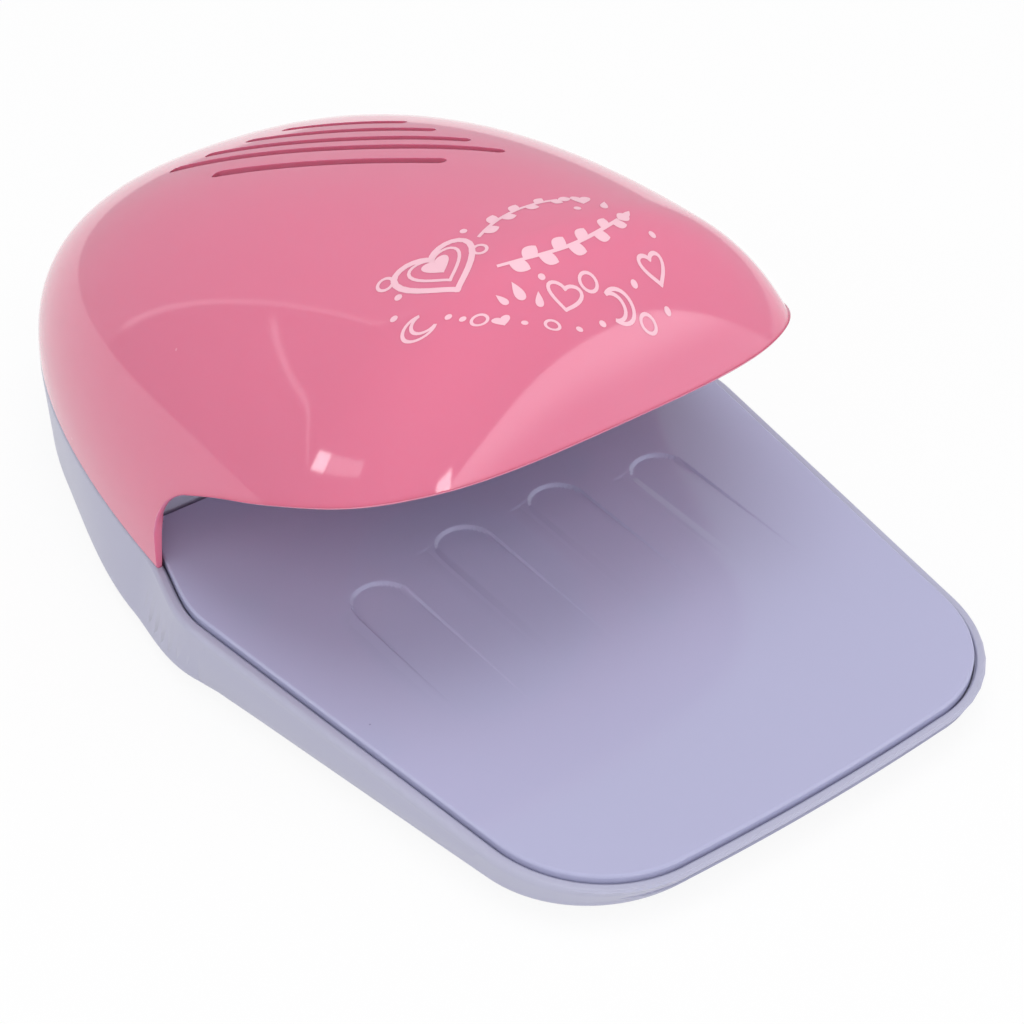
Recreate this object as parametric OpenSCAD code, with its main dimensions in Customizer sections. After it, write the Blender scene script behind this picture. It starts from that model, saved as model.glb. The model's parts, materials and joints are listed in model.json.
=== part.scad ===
// Press-to-run nail polish fan dryer.
// Origin at the middle of the footprint on the table, +Z up, the hand goes in from the front, -Y.

/* [Base] */
// Length of the whole body, front to back
body_l = 165; // [160:1:175]
// Height of the rim above the table at its front edge
rim_front_h = 5.3; // [5.1:0.1:6.5]
// Slope of the rim and of the press plate, in degrees
rim_slope = 4.46; // [4:0.1:5]
// Width across the rim at the front edge, before its corners are rounded
front_w = 79.6; // [76:0.5:84]
// How far each side opens out towards the back, in degrees
side_taper = 7.6; // [6.5:0.1:8.2]
// Radius of the two front corners
front_corner_r = 20; // [16:0.5:22]
// How far the front edge bows out in the middle, doubled
front_bow = 1.2; // [0.4:0.1:2.4]
// Width of the rim and thickness of the base's side wall
rim_w = 2.4; // [2.1:0.1:3]
// Thickness of the base's floor
floor_t = 1.3; // [1:0.1:1.5]
// Radius of the rounded lower edge of the base
base_edge_r = 1.6; // [1.2:0.1:1.8]
// How far the base's wall leans in below the rim at the front
front_tuck = 1.4; // [0.6:0.1:1.5]
// How far the foot of the base's wall stands out beside the hood's legs
foot_flare = 2.7; // [1:0.1:3]

/* [Press plate] */
// How far the plate stands above the rim
plate_proud = 0.9; // [0.6:0.1:1.5]
// Gap between the plate and the rim
plate_gap = 0.55; // [0.4:0.05:0.9]
// Thickness of the plate
plate_t = 1.6; // [1.3:0.1:1.8]
// Thickness of the plate's skirt
skirt_t = 1.4; // [1.1:0.1:2]
// Length of the body behind the plate's back edge
rear_l = 69.2; // [69:0.1:74]
// Travel of the plate, in degrees
press_angle = 0.8; // [0.5:0.05:0.9]
// Distance between the middles of two finger grooves
groove_pitch = 17; // [14:0.5:18]
// Width of a finger groove
groove_w = 9.5; // [7:0.5:11]
// Length of the middle finger grooves
groove_l = 31.5; // [24:0.5:44]
// Depth of a finger groove at its round end
groove_depth = 0.8; // [0.4:0.1:1]
// Distance from the plate's back edge to the round end of the two middle grooves
groove_start = 25.5; // [20:0.5:30]
// Extra distance for the two outer grooves
groove_step = 3.1; // [0:0.1:6]
// Radius of the plate's hinge pins
plate_pin_r = 1.1; // [0.9:0.1:1.3]
// Distance of the hinge pins from the middle
plate_pin_x = 31; // [26:1:34]

/* [Hood] */
// Height of the crown above the table
crown_h = 63.2; // [61:0.5:68]
// How far each side of the hood stands out past the width of the front
hood_swell = 7.4; // [6.4:0.1:8.6]
// Reach of the hood's full form behind its widest place
hood_back = 98.8; // [96:0.5:102]
// Reach of the hood's full form in front of its widest place
hood_front = 31.5; // [29:0.5:36]
// How far the crown lies in front of the widest place
crown_shift = 7.2; // [4:0.2:10]
// Wall thickness of the hood
hood_t = 1.7; // [1.5:0.1:2.2]
// Squareness of the hood's plan at the front
plan_front = 3.13; // [2.6:0.1:3.6]
// Squareness of the hood's plan at the back
plan_back = 2.36; // [2.1:0.02:2.6]
// Steepness of the hood's front
steep_front = 1.29; // [1.2:0.01:1.5]
// Steepness of the hood's sides
steep_side = 2.37; // [2:0.01:2.7]
// Steepness of the hood's back
steep_back = 1.5; // [1.3:0.01:1.9]
// Distance from the plate's back edge to the front of the hood's legs
leg_y = 8.75; // [7:0.05:12]
// Depth of the hood's edge below the crown, where the edge leaves the leg
lip_side_drop = 34.6; // [33:0.2:37]
// Depth of the hood's edge below the crown, in the middle of the front
lip_front_drop = 20.2; // [18.4:0.2:22]
// Radius of the bend between the leg and the edge
lip_corner_r = 12.5; // [9:0.5:13]
// How far the edge bulges above a straight line between those heights
lip_bulge = 0.5; // [0.3:0.05:0.6]

/* [Vent slots] */
// Width of a slot
slot_w = 2.2; // [1.4:0.1:2.5]
// Radius that the slots curve to
slot_r = 120; // [60:5:200]
// Direction of the slots on the crown, in degrees from across
slot_turn = -57; // [-60:1:-50]
// Length of the longest slot
slot_l = 53; // [40:1:54]

/* [Inner cover and fan] */
// Thickness of the inner cover
cover_t = 1.6; // [1.2:0.1:1.8]
// Gap between the inner cover and the hood
cover_gap = 0.3; // [0.2:0.05:0.6]
// Depth of the inner cover's back corner below the crown
cave_back_drop = 35.2; // [34.2:0.2:37]
// Depth of the inner cover's front edge below the crown
cave_front_drop = 18.7; // [17.2:0.1:19.6]
// Radius of the bend between the back wall and the ceiling
cave_bend_r = 5; // [3:0.5:7]
// Distance of the fan from the plate's back edge
fan_back = 22.3; // [20:0.5:24]
// Radius of the impeller's blades
impeller_r = 17.3; // [15:0.1:17.5]
// Height of the impeller
impeller_h = 5.4; // [4.5:0.1:5.6]
// Number of blades
blades = 7; // [5:1:9]
// Gap round the impeller
blade_gap = 1; // [0.7:0.1:1.2]
// Radius of the motor
motor_r = 10; // [8:0.5:10.5]
// Length of the motor's can
motor_l = 10; // [8:0.5:10]
// Radius of the motor's shaft
shaft_r = 1; // [0.75:0.05:1.2]

/* [Batteries] */
// Diameter of a cell
cell_d = 14.5; // [14:0.1:14.8]
// Length of a cell without its button
cell_l = 49.2; // [48:0.1:49.5]
// Distance from the plate's back edge to the battery box
box_back = 11.7; // [11.2:0.1:13]
// Wall thickness of the battery box
box_t = 1.5; // [1.2:0.1:2]

/* [Hidden] */
$fn = 48;
eps = 0.01;

// Clearances
run_gap = 0.05;      // round a pin or a shaft that turns
seat_gap = 0.15;     // round a piece that sits in a pocket

// The base and its rim
front_y = -body_l / 2;
back_y = body_l / 2;
foot_h = 1.6;
floor_z = foot_h + floor_t;
hinge_line = back_y - rear_l;            // the plate's back edge
slope = tan(rim_slope);
function rim_z(y) = rim_front_h + slope * (y - front_y);
function plate_z(y) = rim_z(y) + plate_proud;

// The hood's form. s runs from 0 at the crown to 1 at the seam, a is the angle round it.
hood_y = back_y - hood_back;
hood_w = front_w + 2 * hood_swell;
lip_side_h = crown_h - lip_side_drop;
lip_front_h = crown_h - lip_front_drop;
cave_back_h = crown_h - cave_back_drop;
cave_front_h = crown_h - cave_front_drop;
seam_z = rim_z(hood_y);
crown_sharp = 2.05;
function signed_pow(v, e) = sign(v) * pow(abs(v), e);
function plan_power(s, a) = 2 + ((sin(a) < 0 ? plan_front : plan_back) - 2) * s;
function wall_power(a) = steep_side + (steep_back - steep_side) * pow(max(0, sin(a)), 2)
    + (steep_front - steep_side) * pow(max(0, -sin(a)), 2);
function hood_rise(s, a) = pow(max(0, 1 - pow(s, crown_sharp)), 1 / wall_power(a));
function hood_x(s, a, inset) = (hood_w / 2 - inset) * s * signed_pow(cos(a), 2 / plan_power(s, a));
function hood_yy(s, a, inset) = hood_y - crown_shift * (1 - s)
    + ((sin(a) < 0 ? hood_front : hood_back) - inset) * s * signed_pow(sin(a), 2 / plan_power(s, a));
function hood_zz(s, a, inset, y) = rim_z(y) * (1 - hood_rise(s, a)) + (crown_h - inset) * hood_rise(s, a);
function hood_point(s, a, inset) = let (y = hood_yy(s, a, inset))
    [hood_x(s, a, inset), y, hood_zz(s, a, inset, y)];

// The base's outline, from the middle of the back round to the middle of the front.
blend_a = 12;            // where the outline leaves the hood's oval, as an angle round it
blend_y = hinge_line - 22;
function side_x(y) = front_w / 2 + tan(side_taper) * (y - front_y);
corner_y = front_y + front_bow * 0.5 + front_corner_r;
corner_x = side_x(corner_y) - front_corner_r / cos(side_taper);
function flat(p) = [p[0], p[1]];
function oval(a, inset) = flat(hood_point(1, a, inset));
function side_point(y, inset) = [side_x(y) - inset / cos(side_taper), y];
function hermite(p, q, u, v, t) = (2 * pow(t, 3) - 3 * pow(t, 2) + 1) * p + (3 * pow(t, 2) - 2 * pow(t, 3)) * q
    + (pow(t, 3) - 2 * pow(t, 2) + t) * u + (pow(t, 3) - pow(t, 2)) * v;
function shoulder(t, inset) = let (p = oval(blend_a, inset), q = side_point(blend_y, inset),
        reach = norm(q - p), back = oval(blend_a, inset) - oval(blend_a + 2, inset))
    hermite(p, q, reach * back / norm(back), reach * [-sin(side_taper), -cos(side_taper)], t);
function corner(a, inset) = [corner_x, corner_y] + (front_corner_r - inset) * [cos(a), sin(a)];
corner_low = corner_y - front_corner_r;
function front_point(x, inset) = [x, inset + corner_low - (corner_low - front_y) * (1 - pow(x / corner_x, 2))];
function half_outline(inset) = concat(
    [for (i = [0:17]) oval(90 - (90 - blend_a) * i / 18, inset)],
    [for (i = [0:7]) shoulder(i / 8, inset)],
    [side_point(blend_y, inset)],
    [for (i = [0:9]) corner(-side_taper - (90 - side_taper) * i / 9, inset)],
    [for (i = [1:4]) front_point(corner_x * (1 - i / 4), inset)]);
function mirrored(points) = [for (i = [len(points) - 2:-1:1]) [-points[i][0], points[i][1]]];
function outline(inset) = let (half = half_outline(inset)) concat(half, mirrored(half));
function ring_at(inset, z) = [for (p = outline(inset)) [p[0], p[1], z]];
function ring_on(inset, drop) = [for (p = outline(inset)) [p[0], p[1], rim_z(p[1]) + drop]];

// The foot of the wall stands out beside the legs and is drawn in at the front
flare_from = hinge_line - 27;
flare_peak = hinge_line - 5;
flare_to = hinge_line + 31;
function eased(t) = let (k = max(0, min(1, t))) k * k * (3 - 2 * k);
function swell(y) = y < flare_peak ? eased((y - flare_from) / (flare_peak - flare_from))
    : eased((flare_to - y) / (flare_to - flare_peak));
function tucked(p) = max(0, corner_y - p[1]) / front_corner_r;
function foot_ring(inset, z) = [for (p = outline(inset))
    [p[0] + sign(p[0]) * foot_flare * swell(p[1]), p[1] + front_tuck * tucked(p), z]];
function under_rim(share, drop) = [for (p = outline(0))
    [p[0], p[1] + share * front_tuck * tucked(p), rim_z(p[1]) + drop]];

// A closed skin through rings of equal length, each ring running clockwise seen from above
module skin(rings) {
    n = len(rings[0]);
    last = len(rings) - 1;
    polyhedron(
        points = [for (r = rings, p = r) p],
        faces = concat(
            [[for (i = [n - 1:-1:0]) i]],
            [[for (i = [0:n - 1]) last * n + i]],
            [for (k = [0:last - 1], i = [0:n - 1]) [k * n + i, k * n + (i + 1) % n, (k + 1) * n + i]],
            [for (k = [0:last - 1], i = [0:n - 1])
                [k * n + (i + 1) % n, (k + 1) * n + (i + 1) % n, (k + 1) * n + i]]));
}

// The hood's full form, let in by inset and carried down below the seam by drop
dome_around = 64;
dome_rings = 11;
function dome_s(i) = 1 - 0.985 * pow(i / dome_rings, 1.5);
function dome_ring(s, inset, drop) = [for (i = [0:dome_around - 1])
    hood_point(s, 90 - 360 * i / dome_around, inset) - [0, 0, drop]];
module dome(inset, drop = 0) {
    sides = [for (i = [0:dome_rings]) dome_ring(dome_s(i), inset, 0)];
    skin(drop > 0 ? concat([dome_ring(1, inset, drop)], sides) : sides);
}

// A side view, drawn as [y, z], carried across the whole width
module across(points, w = body_l) {
    rotate([90, 0, 90]) linear_extrude(w, center = true) polygon(points);
}

// All below a sloped plane, given by its height at y = 0
module below(z0, angle) {
    translate([0, 0, z0]) rotate([angle, 0, 0]) translate([-body_l, -body_l, -body_l])
        cube([2 * body_l, 2 * body_l, body_l]);
}

// A tube swept along points, closed at both ends
function unit(v) = v / norm(v);
function along(p, i) = unit(p[min(i + 1, len(p) - 1)] - p[max(i - 1, 0)]);
function beside(t) = unit(abs(t[2]) > 0.95 ? cross(t, [0, 1, 0]) : cross(t, [0, 0, 1]));
module tube(points, r, sides = 8) {
    skin([for (i = [0:len(points) - 1]) let (t = along(points, i), u = beside(t), v = cross(t, u))
        [for (k = [0:sides - 1]) points[i] + r * (u * cos(-360 * k / sides) + v * sin(-360 * k / sides))]]);
}

// A wire coil standing on z = 0, its outline tapering from r1 to r2
coil_steps = 12;
module coil(r1, r2, h, turns, wire) {
    steps = turns * coil_steps;
    rings = [for (i = [0:steps]) let (a = 360 * i / coil_steps, f = i / steps, r = r1 + (r2 - r1) * f,
            radial = [cos(a), sin(a), 0], c = r * radial + [0, 0, wire + (h - 2 * wire) * f])
        [for (k = [0:5]) c + wire * (cos(-60 * k) * radial + sin(-60 * k) * [0, 0, 1])]];
    skin(rings);
}

module self_tapper(head_r, head_h, shank_r, length) {
    cylinder(r = head_r, h = head_h);
    translate([0, 0, head_h - eps]) cylinder(r = shank_r, h = length + eps);
}

// The hood's edge, as a side view: up the leg, round a bend and along to the middle of the front
lip_sweep = 68;          // the bend ends where its slope meets that of the edge
bend_y = hinge_line - leg_y - lip_corner_r;
bend_z = lip_side_h - lip_corner_r * sin(lip_sweep);
function bend_at(a) = [bend_y + lip_corner_r * cos(a), bend_z + lip_corner_r * sin(a)];
lip_start_y = bend_at(lip_sweep)[0];
lip_end_y = hood_y - hood_front - 1;
function lip_z(t) = lip_side_h + (lip_front_h - lip_side_h) * (t + lip_bulge * t * (1 - t));
hood_mouth = concat(
    [[hinge_line - leg_y, 0]],
    [for (i = [0:8]) bend_at(lip_sweep * i / 8)],
    [for (i = [1:10]) [lip_start_y + (lip_end_y - lip_start_y) * i / 10, lip_z(i / 10)]],
    [[front_y, lip_front_h + 4], [front_y, 0]]);

// The inner cover's side view: a back wall, a bend and a ceiling that climbs to the hood's edge
wall_y = hinge_line + 1;
cave_angle = atan((cave_front_h - cave_back_h) / (wall_y - lip_end_y));
cave_drop = 7;           // how far the back wall reaches below the rim
function cave_z(y) = cave_back_h + tan(cave_angle) * (wall_y - y);
function cave_line(out) = let (r = cave_bend_r + out, c = [wall_y - cave_bend_r,
        cave_z(wall_y - cave_bend_r) - cave_bend_r / cos(cave_angle)])
    concat([[wall_y + out, rim_z(wall_y) - cave_drop]],
        [for (i = [0:8]) c + r * [cos((90 - cave_angle) * i / 8), sin((90 - cave_angle) * i / 8)]],
        [[front_y, cave_z(front_y) + out / cos(cave_angle)]]);
function reversed(list) = [for (i = [len(list) - 1:-1:0]) list[i]];

// Everything of the fan stands square to the ceiling, from its upper face
fan_y = hinge_line - fan_back;
module at_ceiling(x, y) {
    translate([x, y, cave_z(y) + cover_t / cos(cave_angle)]) rotate([-cave_angle, 0, 0]) children();
}
outlet_r = impeller_r + blade_gap + 0.7;
grille_flange = 1.2;
grille_flange_r = outlet_r + 3;
duct_r = impeller_r + blade_gap;
duct_t = 1.8;
blade_z = grille_flange + 1;
duct_top = blade_z + impeller_h + 0.6;
bracket_t = 1.4;
motor_z = duct_top + bracket_t;
cap_t = 1.4;
ear_r = 2.6;
ear_x = grille_flange_r + ear_r - 0.5;
hub_r = 4.4;
motor_boss_r = 3;
motor_screw_x = 6;
module three_ears() {
    for (a = [30, 150, 270]) rotate([0, 0, a]) translate([ear_x, 0, 0]) children();
}
module two_motor_screws() {
    for (s = [-1, 1]) translate([s * motor_screw_x, 0, 0]) children();
}
module each_side() {
    children();
    mirror([1, 0, 0]) children();
}

// Posts of the hood: four reach down to the base, four to the inner cover
post_r = 3.2;
pilot_r = 1.45;
screw_r = pilot_r - run_gap;
join_z = 10.8;
post_places = [[hood_w / 2 - 10.2, hinge_line + 7], [12, back_y - 11.5]];
cover_places = [[hood_w / 2 - 16.2, hinge_line - 9], [hood_w / 2 - 20.2, hinge_line - 36]];
screw_sink = 3.2;        // depth of the screw pockets under the base
module at_posts() {
    for (p = post_places) each_side() translate([p[0], p[1], 0]) children();
}
module at_cover_posts() {
    for (p = cover_places) each_side() at_ceiling(p[0], p[1]) children();
}

// The press plate
pin_y = hinge_line - 2.6;
pin_z = 7.4;
skirt_z = floor_z + press_angle * PI / 180 * (pin_y - front_y) + 0.15;
lug_w = 3;
lug_r = plate_pin_r + 1.9;
cheek_t = 2.2;
cheek_gap = 0.4;
plate_inset = rim_w + plate_gap;
spring_place = [20, hinge_line - 40];
spring_r = 3;
wire_r = 0.3;
switch_y = hinge_line - 42;
board_t = 1;
switch_h = 2.5;
plunger_r = 1.6;
plunger_up = 0.9;

// The batteries
cell_r = cell_d / 2;
cell_pitch = cell_d + 0.6;
cell_z = floor_z + 0.45 + cell_r;
button_h = 1.2;
box_l = cell_l + button_h + 4.4;             // room for the button, the springs and the tabs
box_w = cell_pitch + cell_d + 0.7;
box_y = hinge_line + box_back;          // inner face of the front wall
box_mid = box_y + box_w / 2;
box_top = cell_z + cell_r + 0.5;
door_over = 2.2;                        // how far the door reaches past the box's mouth
ledge_t = 1.5;
door_tab_r = 5;
door_screw_y = box_y + box_w + door_over + 2.5;
tongue_x = 12;
tongue_w = 8;
tongue_reach = 1.5;                     // how far a tongue hooks in past the door's edge
contact_t = 0.4;
function cell_y(i) = box_mid + (i - 0.5) * cell_pitch;

// The feet
foot_r = 4.5;
foot_sink = 0.5;
foot_places = [[27, front_y + 15], [21, back_y - 20]];

// The leads: routes chosen by hand. Their y counts from the plate's back edge, the z of their
// upper points from the crown.
lead_r = 0.6;
lead_pass_x = 14;        // notches that let the leads through, from the middle
lead_pass_w = 5.5;
lead_pass_h = 3.4;
function route(low, high) = [for (p = concat(low, [for (q = high) q + [0, 0, crown_h]])) p + [0, hinge_line, 0]];
positive_route = route([[26.2, 31.7, 21], [27, 26.7, 22], [27.5, 19.7, 24], [26, 12.7, 27]],
    [[22, 6.7, -30.2], [17, 1.7, -22.2], [12, -3.3, -14.2], [8, -7.8, -9.2], [5.5, -10.8, -7], [5, -13.3, -6.6]]);
switch_route = route([[-5.4, -39.3, 5.6], [-8, -36.3, 5], [-13, -30.3, 4.2], [-16, -21, 4.2], [-16.4, -8, 4.2],
    [-16.7, 1, 4.2], [-17.1, 4.8, 4.8], [-17.8, 6.6, 9], [-18.5, 6.9, 16], [-18, 6.2, 26]],
    [[-16, 1.7, -25.2], [-12, -3.3, -15.2], [-8, -7.8, -9.4], [-5.5, -10.8, -7], [-5, -13.3, -6.6]]);
negative_route = route([[5.4, -39.3, 5.6], [8, -36.3, 5], [13, -30.3, 4.2], [16, -21, 4.2], [16.4, -8, 4.2],
    [16.7, 1, 4.2], [17.1, 4.8, 4.8], [17.8, 6.6, 9], [18.6, 7, 16], [21, 9, 21], [24, 14, 22],
    [26.2, 18.3, 21.2]], []);

module plate_profile(inset, z_top) {
    linear_extrude(z_top) polygon(outline(inset));
}

module base() {
    color("#b9b6d6") difference() {
        union() {
            difference() {
                base_skin();
                translate([0, 0, floor_z]) plate_profile(rim_w, body_l);
            }
            intersection() {
                base_inside();
                plate_profile(rim_w - 0.4, body_l);
            }
        }
        base_holes();
    }
}

module base_skin() {
    skin([
        foot_ring(base_edge_r, foot_h),
        foot_ring(0.5 + base_edge_r * 0.3, foot_h + base_edge_r * 0.25),
        foot_ring(0.5, foot_h + base_edge_r * 0.7),
        under_rim(0.45, -0.9),
        ring_on(0.2, -0.3),
        ring_on(0.7, 0)]);
}

module base_inside() {
    // the bulkhead behind the inner cover's wall
    translate([-body_l / 2, wall_y + cover_t + 0.1, floor_z - eps])
        cube([body_l, 1.6, rim_z(wall_y) - floor_z]);
    // hinge cheeks of the press plate
    each_side() for (s = [-1, 1])
        translate([plate_pin_x + s * (lug_w / 2 + cheek_gap + cheek_t / 2), pin_y, floor_z - eps])
            hinge_cheek();
    at_posts() translate([0, 0, floor_z - eps]) cylinder(r = post_r + 0.4, h = join_z - floor_z);
    // seats that keep the plate's springs in place
    each_side() translate([spring_place[0], spring_place[1], floor_z - eps]) cylinder(r = 2.1, h = 1.3);
    // pegs of the switch board
    for (s = [-1, 1]) translate([s * 5, switch_y, floor_z - eps]) cylinder(r = 0.7, h = board_t + 0.6);
    // ribs along the floor, under the plate
    each_side() translate([9, front_y + 22, floor_z - eps]) cube([1.2, 24, 0.9]);
    battery_box();
}

module hinge_cheek() {
    rise = pin_z - floor_z;
    translate([-cheek_t / 2, -lug_r, 0]) cube([cheek_t, 2 * lug_r, rise]);
    translate([-cheek_t / 2, 0, rise]) rotate([0, 90, 0]) cylinder(r = lug_r, h = cheek_t);
}

module battery_box() {
    w = box_l + 2 * box_t;
    d = box_w + 2 * box_t;
    translate([-w / 2, box_y - box_t, floor_z - eps]) cube([w, d, box_top + box_t - floor_z]);
    translate([-w / 2 - 2, box_y - box_t - 2, floor_z - eps]) cube([w + 4, d + 4, ledge_t]);
    translate([0, door_screw_y, floor_z - eps]) cylinder(r = door_tab_r, h = 6);
}

module base_holes() {
    at_posts() {
        translate([0, 0, foot_h - 1]) cylinder(r = 3.1, h = screw_sink + 1);
        cylinder(r = 1.7, h = join_z + 1);
    }
    // the battery box, open below, with a stepped mouth for its door
    translate([-box_l / 2, box_y, foot_h - 1]) cube([box_l, box_w, box_top - foot_h + 1]);
    translate([0, 0, foot_h - 1]) linear_extrude(floor_t + 1 + 0.05) door_outline(seat_gap);
    translate([0, door_screw_y, foot_h - 1]) cylinder(r = 1.1, h = floor_t + 6);
    // slots that the door's two tongues hook into
    each_side() translate([tongue_x, box_y - door_over - tongue_reach - seat_gap, floor_z - eps])
        cube([tongue_w + 2 * seat_gap, door_over + tongue_reach + 2 * seat_gap, 1 + seat_gap]);
    // holes for the plate's hinge pins
    each_side() translate([plate_pin_x, pin_y, pin_z]) rotate([0, 90, 0])
        cylinder(r = plate_pin_r, h = lug_w + 2 * cheek_gap + 2 * cheek_t + 2, center = true);
    for (p = foot_places) each_side() translate([p[0], p[1], foot_h - 1])
        cylinder(r = foot_r, h = 1 + foot_sink);
    // notches in the bulkhead for the leads, and holes in the box for its tabs
    each_side() translate([lead_pass_x, wall_y + cover_t, floor_z]) cube([lead_pass_w, 2, 5]);
    for (i = [0, 1]) translate([box_l / 2 - contact_t - 0.2, cell_y(i) - 2.2, box_top - 1])
        cube([contact_t + 0.2, 4.4, 4]);
    rear_feed();
}

module rear_feed() {
    // cooling slots under the fan space
    for (i = [-2:2]) translate([i * 5 - 0.6, wall_y + 4.4, foot_h - 1]) cube([1.2, 3.6, floor_t + 2]);
}

module door_outline(gap) {
    translate([-box_l / 2 - door_over - gap, box_y - door_over - gap])
        square([box_l + 2 * door_over + 2 * gap, box_w + 2 * door_over + 2 * gap]);
    translate([0, door_screw_y]) circle(r = door_tab_r + gap);
}

module battery_door() {
    color("#b3b0d2") difference() {
        union() {
            translate([0, 0, foot_h]) linear_extrude(floor_t) door_outline(0);
            each_side() translate([tongue_x + seat_gap, box_y - door_over - tongue_reach, floor_z - eps])
                cube([tongue_w, door_over + tongue_reach, 1]);
        }
        translate([0, door_screw_y, foot_h - 1]) cylinder(r = 1.3, h = floor_t + 2);
        translate([0, door_screw_y, foot_h - 1]) cylinder(r = 2.3, h = 1.7);
        // finger ribs
        for (i = [-4:4]) translate([i * 2.4 - 0.4, box_mid + 9, foot_h - 1]) cube([0.8, 6, 1.3]);
    }
}

module door_screw() {
    color("silver") translate([0, door_screw_y, foot_h + 0.1]) self_tapper(2, 0.6, 1, 4.5);
}

module feet() {
    color("#e4e2ee") for (p = foot_places) each_side() translate([p[0], p[1], 0]) {
        cylinder(r1 = foot_r - 0.5, r2 = foot_r - 0.1, h = 0.5);
        translate([0, 0, 0.5]) cylinder(r = foot_r - 0.1, h = foot_h + foot_sink - 0.5);
    }
}

module plate_skin() {
    skin([
        ring_at(plate_inset, skirt_z),
        ring_on(plate_inset, plate_proud - 1),
        ring_on(plate_inset + 0.1, plate_proud - 0.5),
        ring_on(plate_inset + 0.35, plate_proud - 0.15),
        ring_on(plate_inset + 0.9, plate_proud)]);
}

// A groove cutter whose floor climbs out of the plate towards the front
module groove(x, start, length) {
    climb = atan(groove_depth / length);
    y = hinge_line - start;
    translate([x, y, plate_z(y)]) rotate([rim_slope - climb, 0, 0]) translate([0, 0, -groove_depth]) {
        translate([0, -groove_w / 2, 0]) cylinder(r = groove_w / 2, h = 5);
        translate([-groove_w / 2, -length - 6, 0]) cube([groove_w, length + 6 - groove_w / 2, 5]);
    }
}

module press_plate() {
    under = plate_z(0) - plate_t / cos(rim_slope);
    color("#c9c6ea") difference() {
        union() {
            difference() {
                intersection() {
                    plate_skin();
                    translate([-body_l, -body_l, 0]) cube([2 * body_l, body_l + hinge_line, body_l]);
                }
                intersection() {
                    plate_profile(plate_inset + skirt_t, body_l);
                    translate([-body_l, -body_l, 0]) cube([2 * body_l, body_l + hinge_line - skirt_t, body_l]);
                    below(under, rim_slope);
                }
            }
            intersection() {
                plate_under(under);
                below(under + plate_t / 2, rim_slope);
            }
        }
        for (i = [0:3]) groove((i - 1.5) * groove_pitch,
            groove_start + (i == 0 || i == 3 ? groove_step : 0), groove_l);
        each_side() translate([plate_pin_x, pin_y, pin_z]) rotate([0, 90, 0])
            cylinder(r = plate_pin_r + run_gap, h = 3 * lug_w, center = true);
        each_side() cheek_room();
        // the leads pass below the plate's back edge
        each_side() translate([lead_pass_x, hinge_line - skirt_t - 1, 0])
            cube([lead_pass_w, skirt_t + 2, floor_z + lead_pass_h]);
    }
}

module cheek_room() {
    // the skirt is cut away over the cheeks of the base
    for (s = [-1, 1]) translate([plate_pin_x + s * (lug_w / 2 + cheek_gap + cheek_t / 2), 0, 0])
        translate([-cheek_t / 2 - cheek_gap, pin_y - lug_r - 0.5, 0])
            cube([cheek_t + 2 * cheek_gap, 2 * lug_r + 5, pin_z + lug_r + 0.5]);
}

module plate_under(under) {
    each_side() translate([plate_pin_x - lug_w / 2, pin_y, 0]) {
        translate([0, 0, pin_z]) rotate([0, 90, 0]) cylinder(r = lug_r, h = lug_w);
        translate([0, -lug_r, pin_z]) cube([lug_w, 2 * lug_r, 8]);
    }
    // cups over the springs, a nose over the switch and stiffening ribs
    each_side() translate([spring_place[0], spring_place[1], 0]) difference() {
        translate([0, 0, plate_z(spring_place[1]) - plate_t - 0.7]) cylinder(r = spring_r + 1.3, h = 3);
        translate([0, 0, 0]) cylinder(r = spring_r + wire_r + 0.2, h = spring_top());
    }
    translate([0, switch_y, floor_z + board_t + switch_h + plunger_up + 0.1]) cylinder(r = 2.2, h = 8);
    each_side() translate([12, hinge_line - 36, plate_z(hinge_line - 36) - plate_t - 2.2])
        cube([1.2, 28, 4]);
    each_side() translate([25, hinge_line - 84, plate_z(hinge_line - 84) - plate_t - 0.8])
        rotate([rim_slope, 0, 0]) cube([1.2, 36, 3]);
}

function spring_top() = plate_z(spring_place[1]) - plate_t - slope * spring_r;

module plate_pins() {
    color("silver") each_side() translate([plate_pin_x, pin_y, pin_z]) rotate([0, 90, 0])
        cylinder(r = plate_pin_r, h = lug_w + 2 * cheek_gap + 2 * cheek_t, center = true);
}

module plate_spring_left() {
    color("silver") mirror([1, 0, 0]) plate_spring();
}

module plate_spring_right() {
    color("silver") plate_spring();
}

module plate_spring() {
    translate([spring_place[0], spring_place[1], floor_z])
        coil(spring_r, spring_r, spring_top() - floor_z, 5, wire_r);
}

module switch_board() {
    color("#3c7a4e") difference() {
        translate([-7, switch_y - 5, floor_z]) cube([14, 10, board_t]);
        for (s = [-1, 1]) translate([s * 5, switch_y, 0]) cylinder(r = 0.7 + run_gap, h = body_l);
    }
}

module switch_body() {
    top = floor_z + board_t + switch_h;
    color("#2b2b30") difference() {
        translate([-3, switch_y - 3, floor_z + board_t]) cube([6, 6, switch_h]);
        translate([0, switch_y, top - 1.7]) cylinder(r = plunger_r + run_gap, h = 2);
    }
}

module switch_plunger() {
    top = floor_z + board_t + switch_h;
    color("#d9d4c4") translate([0, switch_y, top - 0.9]) cylinder(r = plunger_r, h = 0.9 + plunger_up);
}

module hood() {
    color("#e07a9c") difference() {
        union() {
            difference() {
                dome(0);
                dome(hood_t, 4);
            }
            intersection() {
                hood_posts();
                dome(hood_t / 2);
            }
        }
        across(hood_mouth);
        vent_slots();
        at_posts() translate([0, 0, join_z - 1]) cylinder(r = pilot_r, h = 10);
        at_cover_posts() translate([0, 0, -1]) cylinder(r = pilot_r, h = 7.5);
    }
}

module hood_posts() {
    at_posts() translate([0, 0, join_z]) cylinder(r = post_r, h = crown_h);
    at_cover_posts() cylinder(r = post_r, h = crown_h);
}

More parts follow.
